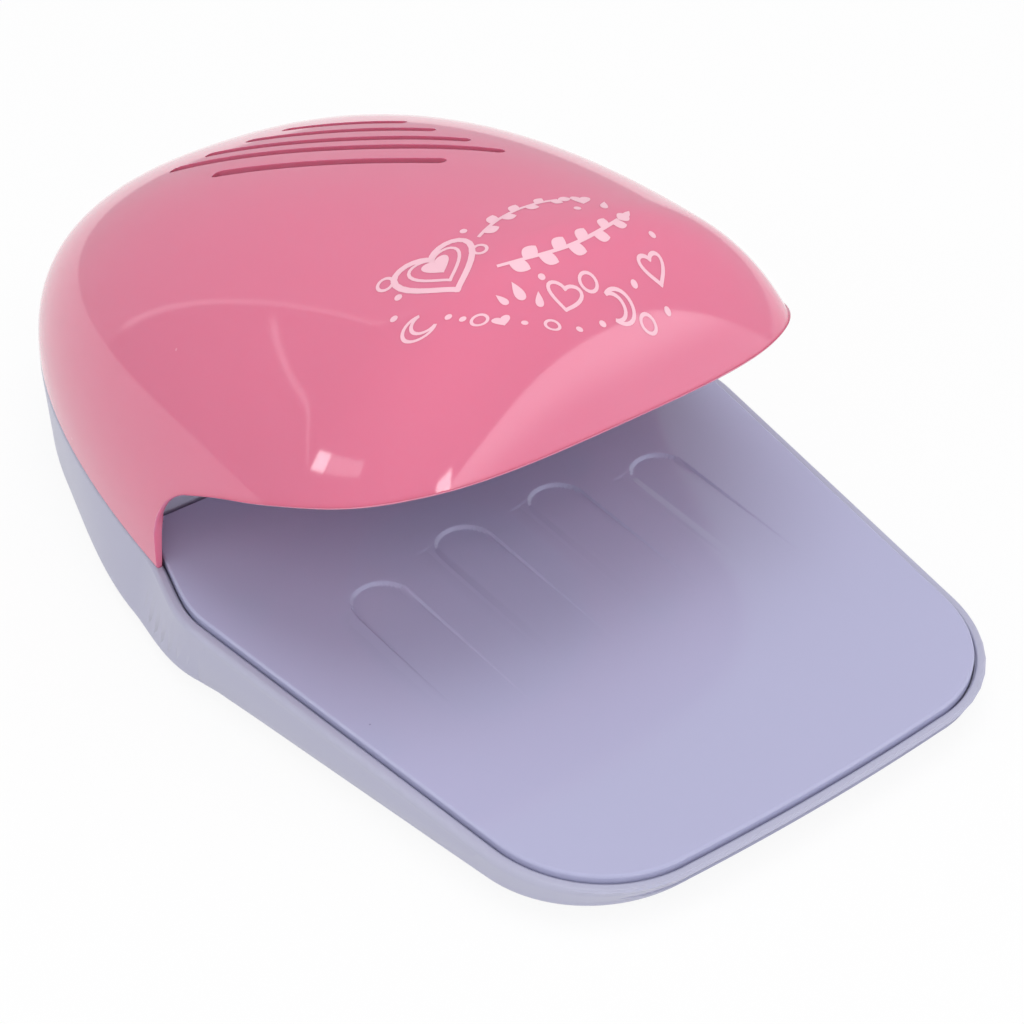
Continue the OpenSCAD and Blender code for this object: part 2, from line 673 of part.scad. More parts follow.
// Five curved slots side by side, the second one the longest. Places are shares of its length.
slot_rows = [-4.2, 1.6, 5.8, 10.6, 15.6];
slot_back = [0.45, 0.67, 0.58, 0.48, 0.4];
slot_front = [0.21, 0.33, 0.21, 0.08, -0.04];
module vent_slots() {
    degrees = slot_l / slot_r * 180 / PI;
    translate([0, hinge_line, 0]) rotate([0, 0, slot_turn]) for (i = [0:4])
        translate([-1, slot_rows[i] + slot_r, crown_h / 2]) {
            from = -90 - slot_back[i] * degrees;
            to = -90 + slot_front[i] * degrees;
            rotate([0, 0, from]) rotate_extrude(angle = to - from, $fn = 96)
                translate([slot_r - slot_w / 2, 0]) square([slot_w, crown_h]);
            for (a = [from, to]) rotate([0, 0, a]) translate([slot_r, 0, 0])
                cylinder(r = slot_w / 2, h = crown_h, $fn = 16);
        }
}

module inner_cover() {
    color("#b1aed0") difference() {
        union() {
            intersection() {
                across(concat(cave_line(cover_t), reversed(cave_line(0))));
                union() {
                    dome(hood_t + cover_gap);
                    translate([0, 0, floor_z + 0.3]) plate_profile(rim_w + cover_gap, rim_z(wall_y) - floor_z);
                }
            }
            at_ceiling(0, fan_y) difference() {
                three_ears() translate([0, 0, -eps]) cylinder(r = ear_r, h = grille_flange);
                translate([0, 0, -1]) cylinder(r = grille_flange_r + seat_gap, h = 5);
            }
        }
        at_ceiling(0, fan_y) {
            translate([0, 0, -5]) cylinder(r = outlet_r, h = 10);
            three_ears() translate([0, 0, -cover_t + 0.6]) cylinder(r = 0.95, h = 5);
        }
        at_cover_posts() translate([0, 0, -5]) cylinder(r = 1.7, h = 10);
        across(hood_mouth, 3 * body_l);
    }
}

module outlet_grille() {
    bar = 1.1;
    color("#9a97bd") at_ceiling(0, fan_y) {
        ring(outlet_r - 2, grille_flange_r, 0, grille_flange);
        ring(outlet_r - 2, outlet_r - seat_gap, -cover_t, cover_t + eps);
        for (k = [1:3]) ring(k * (outlet_r - 2) / 4 - bar / 2, k * (outlet_r - 2) / 4 + bar / 2, -cover_t, 1.4);
        for (a = [0:60:179]) rotate([0, 0, a])
            translate([-(outlet_r - 1.5), -bar / 2, -cover_t + 0.1]) cube([2 * (outlet_r - 1.5), bar, 1.2]);
    }
}

module ring(r_in, r_out, z, h) {
    translate([0, 0, z]) difference() {
        cylinder(r = r_out, h = h);
        translate([0, 0, -1]) cylinder(r = r_in, h = h + 2);
    }
}

module fan_duct() {
    color("#d8d6e6") at_ceiling(0, fan_y) difference() {
        union() {
            cylinder_between(duct_r + duct_t, grille_flange, duct_top);
            three_ears() cylinder_between(ear_r, grille_flange, grille_flange + 2);
            for (a = [30, 150, 270]) rotate([0, 0, a]) translate([duct_r + 0.5, -1.2, grille_flange])
                cube([ear_x - duct_r - 1, 2.4, 2]);
            for (a = [90, 210, 330]) rotate([0, 0, a]) translate([duct_r + 1.6, 0, grille_flange])
                cylinder(r = 1.7, h = duct_top - grille_flange);
        }
        translate([0, 0, -1]) cylinder(r = duct_r, h = 40);
        three_ears() translate([0, 0, -1]) cylinder(r = 1.1, h = 10);
    }
}

module cylinder_between(r, z1, z2) {
    translate([0, 0, z1]) cylinder(r = r, h = z2 - z1);
}

// A blade is a slice of a tube that lies along the radius
blade_curve = 10;
blade_t = 0.9;
module blade() {
    intersection() {
        translate([shaft_r + 0.8, -5.6, -4]) rotate([0, 90, 0]) difference() {
            cylinder(r = blade_curve, h = impeller_r);
            translate([0, 0, -1]) cylinder(r = blade_curve - blade_t, h = impeller_r + 2);
        }
        translate([0, -3.5, 0]) cube([impeller_r + 5, 9, impeller_h]);
    }
}

module impeller() {
    color("#f0eef6") at_ceiling(0, fan_y) translate([0, 0, blade_z]) difference() {
        union() {
            cylinder(r = hub_r, h = impeller_h);
            intersection() {
                for (i = [0:blades - 1]) rotate([0, 0, i * 360 / blades]) blade();
                cylinder(r = impeller_r, h = impeller_h);
            }
        }
        translate([0, 0, -1]) cylinder(r = shaft_r, h = impeller_h + 2);
    }
}

module motor_bracket() {
    color("#d8d6e6") at_ceiling(0, fan_y) translate([0, 0, duct_top]) linear_extrude(bracket_t) difference() {
        union() {
            difference() {
                circle(r = duct_r + duct_t);
                circle(r = duct_r);
            }
            for (a = [90, 210, 330]) rotate(a) translate([0, -2]) square([duct_r + duct_t / 2, 4]);
            circle(r = motor_r);
        }
        circle(r = motor_boss_r + run_gap);
        for (side = [-1, 1]) translate([side * motor_screw_x, 0]) circle(r = 0.9);
    }
}

module motor_can() {
    color("#c4c6cc") at_ceiling(0, fan_y) difference() {
        union() {
            cylinder_between(motor_r, motor_z, motor_z + motor_l);
            cylinder_between(motor_boss_r, motor_z - 1, motor_z + eps);
        }
        cylinder_between(2, 0, motor_z + 3);
        cylinder_between(shaft_r + run_gap, 0, motor_z + motor_l - 2);
        two_motor_screws() cylinder_between(0.8, 0, motor_z + 3);
    }
}

module motor_bush() {
    color("#b98d4a") at_ceiling(0, fan_y) ring(shaft_r + run_gap, 2, motor_z - 1, 4);
}

module motor_shaft() {
    color("silver") at_ceiling(0, fan_y) cylinder_between(shaft_r, blade_z, motor_z + motor_l - 2.2);
}

module motor_end_cap() {
    top = motor_z + motor_l;
    color("#2f3a52") at_ceiling(0, fan_y) difference() {
        cylinder_between(motor_r - 0.4, top, top + cap_t);
        for (s = [-1, 1]) translate([s * 5 - 1, -0.3, top - 1]) cube([2, 0.6, 10]);
    }
}

module motor_terminals() {
    top = motor_z + motor_l;
    color("#c9a24a") at_ceiling(0, fan_y) for (s = [-1, 1])
        translate([s * 5 - 1, -0.3, top]) cube([2, 0.6, cap_t + 0.9]);
}

module cell_front() {
    color("#b9bcc4") mirrored_cell(0);
}

module cell_back() {
    color("#b9bcc4") mirrored_cell(1);
}

// The two cells lie head to tail
module mirrored_cell(i) {
    translate([0, cell_y(i), cell_z]) rotate([0, i == 0 ? 90 : -90, 0]) {
        cylinder_between(cell_r, -cell_l / 2, cell_l / 2);
        cylinder_between(2.7, cell_l / 2 - eps, cell_l / 2 + button_h);
    }
}

// Sheet contacts: one bridge at the left end, two tabs at the right end
contact_h = 9;
module contact_bridge() {
    color("#cfd2d8") translate([-box_l / 2, cell_y(0) - 4.5, cell_z - contact_h / 2])
        cube([contact_t, cell_pitch + 9, contact_h]);
    color("#cfd2d8") bump(1);
}

// A raised button that meets the cell's own button
module bump(i) {
    s = i == 0 ? 1 : -1;
    translate([s * (box_l / 2 - contact_t), cell_y(i), cell_z]) rotate([0, -90 * s, 0])
        cylinder(r = 2, h = box_l / 2 - contact_t - cell_l / 2 - button_h);
}

module contact_tabs() {
    color("#cfd2d8") for (i = [0, 1]) translate([box_l / 2 - contact_t, 0, 0]) {
        translate([0, cell_y(i) - 4.5, cell_z - contact_h / 2]) cube([contact_t, 9, contact_h]);
        translate([0, cell_y(i) - 2, cell_z]) cube([contact_t, 4, box_top + box_t + 2 - cell_z]);
    }
    color("#cfd2d8") bump(0);
}

// Conical springs press on the flat end of each cell
module contact_springs() {
    room = box_l / 2 - contact_t - cell_l / 2;
    color("#cfd2d8") for (i = [0, 1]) let (s = i == 0 ? -1 : 1)
        translate([s * (box_l / 2 - contact_t), cell_y(i), cell_z]) rotate([0, -90 * s, 0])
            coil(4.2, 2.4, room, 3, 0.35);
}

module hood_screws() {
    color("#6e6f76") at_posts() translate([0, 0, foot_h + screw_sink - 1.8])
        self_tapper(2.8, 1.8, screw_r, join_z + 7 - foot_h - screw_sink);
}

module cover_screws() {
    color("#6e6f76") at_cover_posts() translate([0, 0, -cover_t - 1]) self_tapper(2.6, 1, screw_r, cover_t + 6);
}

module duct_screws() {
    color("#6e6f76") at_ceiling(0, fan_y) three_ears() translate([0, 0, grille_flange + 3.2]) mirror([0, 0, 1])
        self_tapper(1.9, 1.2, 0.9, 4);
}

module motor_screws() {
    color("#6e6f76") at_ceiling(0, fan_y) two_motor_screws() translate([0, 0, duct_top - 0.55])
        self_tapper(1.5, 0.55, 0.75, bracket_t + 2);
}

module lead_positive() {
    color("#c8323c") tube(smooth(positive_route), lead_r);
}

module lead_negative() {
    color("#24242a") tube(smooth(negative_route), lead_r);
}

module lead_switch() {
    color("#3560b0") tube(smooth(switch_route), lead_r);
}

// A smooth curve through a route's points
function knot(p, i) = p[max(0, min(len(p) - 1, i))];
function between(a, b, c, d, t) = 0.5 * (2 * b + (c - a) * t + (2 * a - 5 * b + 4 * c - d) * pow(t, 2)
    + (3 * b - a - 3 * c + d) * pow(t, 3));
function smooth(p, steps = 3) = concat(
    [for (i = [0:len(p) - 2], k = [0:steps - 1])
        between(knot(p, i - 1), p[i], p[i + 1], knot(p, i + 2), k / steps)],
    [p[len(p) - 1]]);

base();
battery_door();
door_screw();
feet();
press_plate();
plate_pins();
plate_spring_left();
plate_spring_right();
switch_board();
switch_body();
switch_plunger();
hood();
inner_cover();
outlet_grille();
fan_duct();
impeller();
motor_bracket();
motor_can();
motor_end_cap();
motor_terminals();
motor_bush();
motor_shaft();
cell_front();
cell_back();
contact_bridge();
contact_tabs();
contact_springs();
hood_screws();
cover_screws();
duct_screws();
motor_screws();
lead_positive();
lead_negative();
lead_switch();
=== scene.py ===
# Looks of the nail polish fan dryer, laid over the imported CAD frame.
# Shape sizes are in millimetres, as a moulder would give them; toMetres turns them into scene units.
import json
import math

import bpy
import bmesh
from mathutils import Matrix, Vector
from mathutils.bvhtree import BVHTree


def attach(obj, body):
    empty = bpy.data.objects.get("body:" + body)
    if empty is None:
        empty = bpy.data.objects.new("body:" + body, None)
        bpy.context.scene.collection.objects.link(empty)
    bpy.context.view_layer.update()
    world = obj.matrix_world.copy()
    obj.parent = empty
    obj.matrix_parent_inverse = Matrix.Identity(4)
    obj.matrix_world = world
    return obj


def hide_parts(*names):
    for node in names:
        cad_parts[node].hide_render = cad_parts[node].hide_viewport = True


toMetres = 0.001
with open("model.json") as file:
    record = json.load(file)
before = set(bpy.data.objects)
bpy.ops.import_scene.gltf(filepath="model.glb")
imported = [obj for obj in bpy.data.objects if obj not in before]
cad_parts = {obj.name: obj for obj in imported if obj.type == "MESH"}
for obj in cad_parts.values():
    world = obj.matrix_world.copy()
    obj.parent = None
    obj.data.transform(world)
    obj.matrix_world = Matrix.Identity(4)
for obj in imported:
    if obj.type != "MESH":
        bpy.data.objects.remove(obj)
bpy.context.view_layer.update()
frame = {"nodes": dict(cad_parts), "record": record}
cadNodes = frame["nodes"]
slotOf = {part["node"]: part["material_slot"] for part in frame["record"]["subparts"]}
print("frame loaded:", len(cadNodes), "nodes")


# the camera, fitted to the photo
shot = dict(
    position=(-176.54, -239.70, 218.84),   # mm
    turn=-38.33,                           # degrees round Z
    lookDown=35.84,                        # degrees below level
    lens=85.6, sensor=36,                  # mm
)


def addCamera():
    camera = bpy.data.objects.new("photoCamera", bpy.data.cameras.new("photoCamera"))
    bpy.context.scene.collection.objects.link(camera)
    camera.location = Vector(shot["position"]) * toMetres
    camera.rotation_euler = (math.radians(90 - shot["lookDown"]), 0, math.radians(shot["turn"]))
    camera.data.lens = shot["lens"]
    camera.data.sensor_width = shot["sensor"]
    camera.data.clip_start = 0.01
    bpy.context.scene.camera = camera


addCamera()


# the body's form, shared by the hood, the base and the plate
body = dict(
    frontY=-82.5, backY=82.5,
    rimFrontHeight=5.3, slope=math.tan(math.radians(4.46)),
    frontWidth=79.6, taper=math.radians(7.6), cornerRadius=20, bow=1.2,
    rimWidth=1.5, plateGap=0.4, plateProud=0.9, ledgeDepth=2.0,
    hingeLine=13.3, footHeight=1.6,
)
dome = dict(
    width=94.4, middle=-16.3, front=31.5, crownHeight=63.2, crownShift=7.2,
    planFront=3.13, planBack=2.36, steepFront=1.29, steepSide=2.37, steepBack=1.5,
    crownSharp=2.05, wall=1.7,
)
# the foot of the base's wall: it flares beside the legs and tucks in at the front
foot = dict(
    flare=2.7, flareFrom=-13.7, flarePeak=8.3, flareTo=44.3,
    tuck=1.4, edge=1.6, upperTuck=0.45,
)


def rimZ(y):
    return body["rimFrontHeight"] + body["slope"] * (y - body["frontY"])


def plateZ(y):
    return rimZ(y) + body["plateProud"]


def signedPower(value, exponent):
    return math.copysign(abs(value) ** exponent, value)


def domePoint(s, angle, inset=0.0):
    # s runs from 0 at the crown to 1 at the seam
    c, n = math.cos(angle), math.sin(angle)
    planPower = 2 + ((dome["planFront"] if n < 0 else dome["planBack"]) - 2) * s
    steep = (dome["steepSide"] + (dome["steepBack"] - dome["steepSide"]) * max(0, n) ** 2
             + (dome["steepFront"] - dome["steepSide"]) * max(0, -n) ** 2)
    rise = max(0.0, 1 - s ** dome["crownSharp"]) ** (1 / steep)
    reach = (dome["front"] if n < 0 else body["backY"] - dome["middle"]) - inset
    x = (dome["width"] / 2 - inset) * s * signedPower(c, 2 / planPower)
    y = dome["middle"] - dome["crownShift"] * (1 - s) + reach * s * signedPower(n, 2 / planPower)
    return Vector((x, y, rimZ(y) * (1 - rise) + (dome["crownHeight"] - inset) * rise))


def outline(inset):
    # one closed loop round the base, from the middle of the back over the right side
    f, taper = body, body["taper"]
    blendAngle, blendY = math.radians(12), body["hingeLine"] - 22
    backSteps, blendSteps, sideSteps, cornerSteps, frontSteps = 70, 24, 12, 24, 12

    def oval(angle):
        p = domePoint(1, angle, inset)
        return Vector((p.x, p.y))

    def sideX(y):
        return f["frontWidth"] / 2 + math.tan(taper) * (y - f["frontY"])

    cornerY = f["frontY"] + f["bow"] / 2 + f["cornerRadius"]
    cornerX = sideX(cornerY) - f["cornerRadius"] / math.cos(taper)
    back = math.radians(90)
    half = [oval(back + (blendAngle - back) * i / backSteps) for i in range(backSteps)]
    p, q = oval(blendAngle), Vector((sideX(blendY) - inset / math.cos(taper), blendY))
    reach = (q - p).length
    u = (p - oval(blendAngle + math.radians(2))).normalized() * reach
    v = Vector((-math.sin(taper), -math.cos(taper))) * reach
    for i in range(blendSteps):
        t = i / blendSteps
        half.append((2 * t**3 - 3 * t**2 + 1) * p + (3 * t**2 - 2 * t**3) * q
                    + (t**3 - 2 * t**2 + t) * u + (t**3 - t**2) * v)
    for i in range(sideSteps):
        y = blendY + (cornerY - blendY) * i / sideSteps
        half.append(Vector((sideX(y) - inset / math.cos(taper), y)))
    radius = f["cornerRadius"] - inset
    for i in range(cornerSteps + 1):
        a = -taper - (math.radians(90) - taper) * i / cornerSteps
        half.append(Vector((cornerX + radius * math.cos(a), cornerY + radius * math.sin(a))))
    low = cornerY - f["cornerRadius"]
    for i in range(1, frontSteps + 1):
        x = cornerX * (1 - i / frontSteps)
        half.append(Vector((x, inset + low - (low - f["frontY"]) * (1 - (x / cornerX) ** 2))))
    return half + [Vector((-w.x, w.y)) for w in reversed(half[1:-1])]


def ringOn(inset, above):
    # the loop at a height above the sloped rim
    return [Vector((p.x, p.y, rimZ(p.y) + above)) for p in outline(inset)]


def eased(t):
    t = max(0.0, min(1.0, t))
    return t * t * (3 - 2 * t)


def wallPoint(p, share, tuck):
    # where the wall's foot lies under a point p of the rim; share and tuck fade the two moves
    f = foot
    if p.y < f["flarePeak"]:
        swell = eased((p.y - f["flareFrom"]) / (f["flarePeak"] - f["flareFrom"]))
    else:
        swell = eased((f["flareTo"] - p.y) / (f["flareTo"] - f["flarePeak"]))
    cornerY = body["frontY"] + body["bow"] / 2 + body["cornerRadius"]
    ahead = max(0.0, cornerY - p.y) / body["cornerRadius"]
    side = math.copysign(1, p.x) if abs(p.x) > 1e-6 else 0
    return Vector((p.x + side * share * f["flare"] * swell, p.y + tuck * f["tuck"] * ahead))


# mesh helpers
def addMesh(name, points, faces):
    mesh = bpy.data.meshes.new(name)
    mesh.from_pydata([Vector(p) * toMetres for p in points], [], faces)
    mesh.update()
    obj = bpy.data.objects.new(name, mesh)
    bpy.context.scene.collection.objects.link(obj)
    return obj


def fixNormals(obj):
    work = bmesh.new()
    work.from_mesh(obj.data)
    bmesh.ops.remove_doubles(work, verts=work.verts, dist=1e-7)
    bmesh.ops.recalc_face_normals(work, faces=work.faces)
    work.to_mesh(obj.data)
    work.free()


def loft(name, rings, loop=False):
    # a skin through rings of equal length; loop joins the last ring to the first instead of capping both
    n = len(rings[0])
    points = [p for ring in rings for p in ring]
    faces = []
    steps = len(rings) if loop else len(rings) - 1
    for k in range(steps):
        a, b = k * n, (k + 1) % len(rings) * n
        faces += [(a + i, a + (i + 1) % n, b + (i + 1) % n, b + i) for i in range(n)]
    if not loop:
        faces += [tuple(range(n)), tuple(reversed(range((len(rings) - 1) * n, len(rings) * n)))]
    obj = addMesh(name, points, faces)
    fixNormals(obj)
    return obj


def addBox(name, low, high):
    points = [(x, y, z) for z in (low[2], high[2]) for y in (low[1], high[1]) for x in (low[0], high[0])]
    faces = [(0, 2, 3, 1), (4, 5, 7, 6), (0, 1, 5, 4), (1, 3, 7, 5), (3, 2, 6, 7), (2, 0, 4, 6)]
    obj = addMesh(name, points, faces)
    fixNormals(obj)
    return obj


def addTube(name, low, high, radius, sides=48):
    axis = (Vector(high) - Vector(low)).normalized()
    side = axis.orthogonal().normalized()
    up = axis.cross(side)
    turns = [2 * math.pi * i / sides for i in range(sides)]
    spokes = [radius * (math.cos(t) * side + math.sin(t) * up) for t in turns]
    return loft(name, [[Vector(end) + spoke for spoke in spokes] for end in (low, high)])


def carve(target, cutter, how="DIFFERENCE"):
    step = target.modifiers.new("carve", "BOOLEAN")
    step.operation, step.object, step.solver = how, cutter, "MANIFOLD"
    settle(target)
    bpy.data.objects.remove(cutter)
    return target


def settle(obj):
    # applies the modifiers, so that the mesh is final
    bpy.context.view_layer.update()
    done = bpy.data.meshes.new_from_object(obj.evaluated_get(bpy.context.evaluated_depsgraph_get()))
    obj.modifiers.clear()
    old, obj.data = obj.data, done
    bpy.data.meshes.remove(old)
    obj.data.name = obj.name


def joinInto(target, parts):
    work = bmesh.new()
    work.from_mesh(target.data)
    for part in parts:
        work.from_mesh(part.data)
        bpy.data.objects.remove(part)
    work.to_mesh(target.data)
    work.free()


def smooth(obj, angle=32, weighted=True):
    obj.data.polygons.foreach_set("use_smooth", [True] * len(obj.data.polygons))
    obj.data.set_sharp_from_angle(angle=math.radians(angle))
    if weighted:
        step = obj.modifiers.new("evenNormals", "WEIGHTED_NORMAL")
        step.keep_sharp = True
        step.weight = 50
        settle(obj)


def finishPiece(obj, rides, slotName, replaced=()):
    obj.data.materials.clear()
    obj.data.materials.append(materials[slotName])
    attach(obj, rides)
    if replaced:
        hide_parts(*replaced)
    print("piece:", obj.name, len(obj.data.polygons), "faces")


# shader groups
def newGroup(name, inputs, outputs):
    group = bpy.data.node_groups.new(name, "ShaderNodeTree")
    for socketName, kind, value in inputs:
        socket = group.interface.new_socket(name=socketName, in_out="INPUT", socket_type=kind)
        socket.default_value = value
    for socketName, kind in outputs:
        group.interface.new_socket(name=socketName, in_out="OUTPUT", socket_type=kind)
    return group, group.nodes.new("NodeGroupInput"), group.nodes.new("NodeGroupOutput")


def addNode(tree, kind, settings=None, values=None):
    node = tree.nodes.new(kind)
    for key, value in (settings or {}).items():
        setattr(node, key, value)
    for key, value in (values or {}).items():
        node.inputs[key].default_value = value
    return node


def noiseAt(tree, coords, scale, detail=2.0):
    noise = addNode(tree, "ShaderNodeTexNoise", values={"Scale": scale, "Detail": detail})
    tree.links.new(coords, noise.inputs["Vector"])
    return noise.outputs["Fac"]


def remap(tree, value, low, high, newLow=0.0, newHigh=1.0):
    node = addNode(tree, "ShaderNodeMapRange",
                   values={"From Min": low, "From Max": high, "To Min": newLow, "To Max": newHigh})
    tree.links.new(value, node.inputs["Value"])
    return node.outputs["Result"]


def combine(tree, operation, a, b):
    node = addNode(tree, "ShaderNodeMath", {"operation": operation})
    for socket, value in zip(node.inputs, (a, b)):
        if isinstance(value, (int, float)):
            socket.default_value = value
        else:
            tree.links.new(value, socket)
    return node.outputs["Value"]


def tint(tree, factor, colorA, colorB, blend="MIX"):
    node = addNode(tree, "ShaderNodeMix", {"data_type": "RGBA", "blend_type": blend})
    for index, value in ((0, factor), (6, colorA), (7, colorB)):
        if isinstance(value, (int, float, tuple)):
            node.inputs[index].default_value = value
        else:
            tree.links.new(value, node.inputs[index])
    return node.outputs[2]


def buildMouldGroup():
    # moulded plastic: faint pigment clouds, slow sink waviness, a fine grain and a slightly uneven gloss
    tree, given, out = newGroup("mouldedPlastic", [
        ("Color", "NodeSocketColor", (0.5, 0.5, 0.5, 1)),
        ("Cloudiness", "NodeSocketFloat", 0.03),
        ("Gloss", "NodeSocketFloat", 0.3),
        ("Gloss Spread", "NodeSocketFloat", 0.05),
        ("Waviness", "NodeSocketFloat", 0.3),
        ("Wave Scale", "NodeSocketFloat", 26.0),
        ("Grain", "NodeSocketFloat", 0.1),
        ("Grain Scale", "NodeSocketFloat", 2500.0),
    ], [("Color", "NodeSocketColor"), ("Roughness", "NodeSocketFloat"), ("Height", "NodeSocketFloat")])
    links = tree.links
    coords = addNode(tree, "ShaderNodeTexCoord").outputs["Object"]

    def spread(scale, amount):
        # noise about zero, times an amount
        centred = combine(tree, "SUBTRACT", noiseAt(tree, coords, scale), 0.5)
        return combine(tree, "MULTIPLY", centred, given.outputs[amount])

    shade = combine(tree, "ADD", spread(30.0, "Cloudiness"), 1.0)
    bright = addNode(tree, "ShaderNodeVectorMath", {"operation": "SCALE"})
    links.new(given.outputs["Color"], bright.inputs[0])
    links.new(shade, bright.inputs["Scale"])
    links.new(bright.outputs[0], out.inputs["Color"])
    rough = combine(tree, "ADD", given.outputs["Gloss"], spread(70.0, "Gloss Spread"))
    links.new(rough, out.inputs["Roughness"])
    wave = addNode(tree, "ShaderNodeTexNoise", values={"Detail": 1})
    links.new(coords, wave.inputs["Vector"])
    links.new(given.outputs["Wave Scale"], wave.inputs["Scale"])
    fine = addNode(tree, "ShaderNodeTexNoise", values={"Detail": 2})
    links.new(coords, fine.inputs["Vector"])
    links.new(given.outputs["Grain Scale"], fine.inputs["Scale"])
    slow = combine(tree, "MULTIPLY", wave.outputs["Fac"], given.outputs["Waviness"])
    quick = combine(tree, "MULTIPLY", fine.outputs["Fac"], given.outputs["Grain"])
    links.new(combine(tree, "ADD", slow, quick), out.inputs["Height"])
    return tree


def buildSpeckGroup():
    # dust: a few small specks, lighter or darker than what they lie on
    tree, given, out = newGroup("dustSpecks", [
        ("Color", "NodeSocketColor", (0.5, 0.5, 0.5, 1)),
        ("Speck Color", "NodeSocketColor", (0.9, 0.85, 0.88, 1)),
        ("Scale", "NodeSocketFloat", 260.0),
        ("Size", "NodeSocketFloat", 0.05),
        ("Share", "NodeSocketFloat", 0.12),
        ("Strength", "NodeSocketFloat", 0.3),
    ], [("Color", "NodeSocketColor"), ("Mask", "NodeSocketFloat")])
    links = tree.links
    coords = addNode(tree, "ShaderNodeTexCoord").outputs["Object"]
    cells = addNode(tree, "ShaderNodeTexVoronoi", values={"Randomness": 1.0})
    links.new(coords, cells.inputs["Vector"])
    links.new(given.outputs["Scale"], cells.inputs["Scale"])
    near = combine(tree, "LESS_THAN", cells.outputs["Distance"], given.outputs["Size"])
    pick = addNode(tree, "ShaderNodeSeparateColor")
    links.new(cells.outputs["Color"], pick.inputs[0])
    chosen = combine(tree, "LESS_THAN", pick.outputs[0], given.outputs["Share"])
    mask = combine(tree, "MULTIPLY", combine(tree, "MULTIPLY", near, chosen), given.outputs["Strength"])
    specked = tint(tree, mask, given.outputs["Color"], given.outputs["Speck Color"])
    links.new(mask, out.inputs["Mask"])
    links.new(specked, out.inputs["Color"])
    return tree


def buildMetalGroup():
    # drawn or plated metal: fine lines along one axis and dull patches
    tree, given, out = newGroup("drawnMetal", [
        ("Color", "NodeSocketColor", (0.6, 0.6, 0.6, 1)),
        ("Gloss", "NodeSocketFloat", 0.3),
        ("Line Scale", "NodeSocketFloat", 900.0),
        ("Dullness", "NodeSocketFloat", 0.15),
    ], [("Color", "NodeSocketColor"), ("Roughness", "NodeSocketFloat"), ("Height", "NodeSocketFloat")])
    links = tree.links
    coords = addNode(tree, "ShaderNodeTexCoord").outputs["Object"]
    stretch = addNode(tree, "ShaderNodeMapping", values={"Scale": (1.0, 0.08, 1.0)})
    links.new(coords, stretch.inputs["Vector"])
    lines = addNode(tree, "ShaderNodeTexNoise", values={"Detail": 3})
    links.new(stretch.outputs[0], lines.inputs["Vector"])
    links.new(given.outputs["Line Scale"], lines.inputs["Scale"])
    patches = remap(tree, noiseAt(tree, coords, 220, 3), 0.4, 0.65)
    dull = combine(tree, "MULTIPLY", patches, given.outputs["Dullness"])
    links.new(combine(tree, "ADD", given.outputs["Gloss"], dull), out.inputs["Roughness"])
    darker = tint(tree, 1.0, given.outputs["Color"], (0.7, 0.68, 0.66, 1), "MULTIPLY")
    worn = tint(tree, combine(tree, "MULTIPLY", patches, 0.4), given.outputs["Color"], darker)
    links.new(worn, out.inputs["Color"])
    links.new(lines.outputs["Fac"], out.inputs["Height"])
    return tree


mouldGroup, speckGroup, metalGroup = buildMouldGroup(), buildSpeckGroup(), buildMetalGroup()
materials = {}


def placeGroup(tree, group, values):
    node = tree.nodes.new("ShaderNodeGroup")
    node.node_tree = group
    for key, value in values.items():
        node.inputs[key].default_value = value
    return node


def startMaterial(name):
    material = bpy.data.materials.new(name)
    material.use_nodes = True
    materials[name] = material
    return material.node_tree, material.node_tree.nodes["Principled BSDF"]


def bumpInto(tree, shader, height, distance):
    bump = addNode(tree, "ShaderNodeBump", values={"Distance": distance, "Strength": 1.0})
    tree.links.new(height, bump.inputs["Height"])
    tree.links.new(bump.outputs["Normal"], shader.inputs["Normal"])


def plastic(name, color, gloss, spread=0.06, cloud=0.05, wave=0.2, waveScale=26.0,
            grain=0.1, grainScale=2500.0, specks=None, scatter=0.0, bumpMm=0.02):
    tree, shader = startMaterial(name)
    moulded = placeGroup(tree, mouldGroup, {
        "Color": (*color, 1), "Cloudiness": cloud, "Gloss": gloss, "Gloss Spread": spread,
        "Waviness": wave, "Wave Scale": waveScale, "Grain": grain, "Grain Scale": grainScale})
    colorOut = moulded.outputs["Color"]
    if specks:
        dust = placeGroup(tree, speckGroup, specks)
        tree.links.new(colorOut, dust.inputs["Color"])
        colorOut = dust.outputs["Color"]
    tree.links.new(colorOut, shader.inputs["Base Color"])
    tree.links.new(moulded.outputs["Roughness"], shader.inputs["Roughness"])
    bumpInto(tree, shader, moulded.outputs["Height"], bumpMm * toMetres)
    if scatter:
        shader.inputs["Subsurface Weight"].default_value = scatter
        shader.inputs["Subsurface Radius"].default_value = (1.0, 0.5, 0.6)
        shader.inputs["Subsurface Scale"].default_value = 1.2 * toMetres
    return tree, shader


def metal(name, color, gloss, lineScale=900.0, dull=0.15):
    tree, shader = startMaterial(name)
    drawn = placeGroup(tree, metalGroup, {
        "Color": (*color, 1), "Gloss": gloss, "Line Scale": lineScale, "Dullness": dull})
    tree.links.new(drawn.outputs["Color"], shader.inputs["Base Color"])
    tree.links.new(drawn.outputs["Roughness"], shader.inputs["Roughness"])
    shader.inputs["Metallic"].default_value = 1.0
    bumpInto(tree, shader, drawn.outputs["Height"], 0.005 * toMetres)


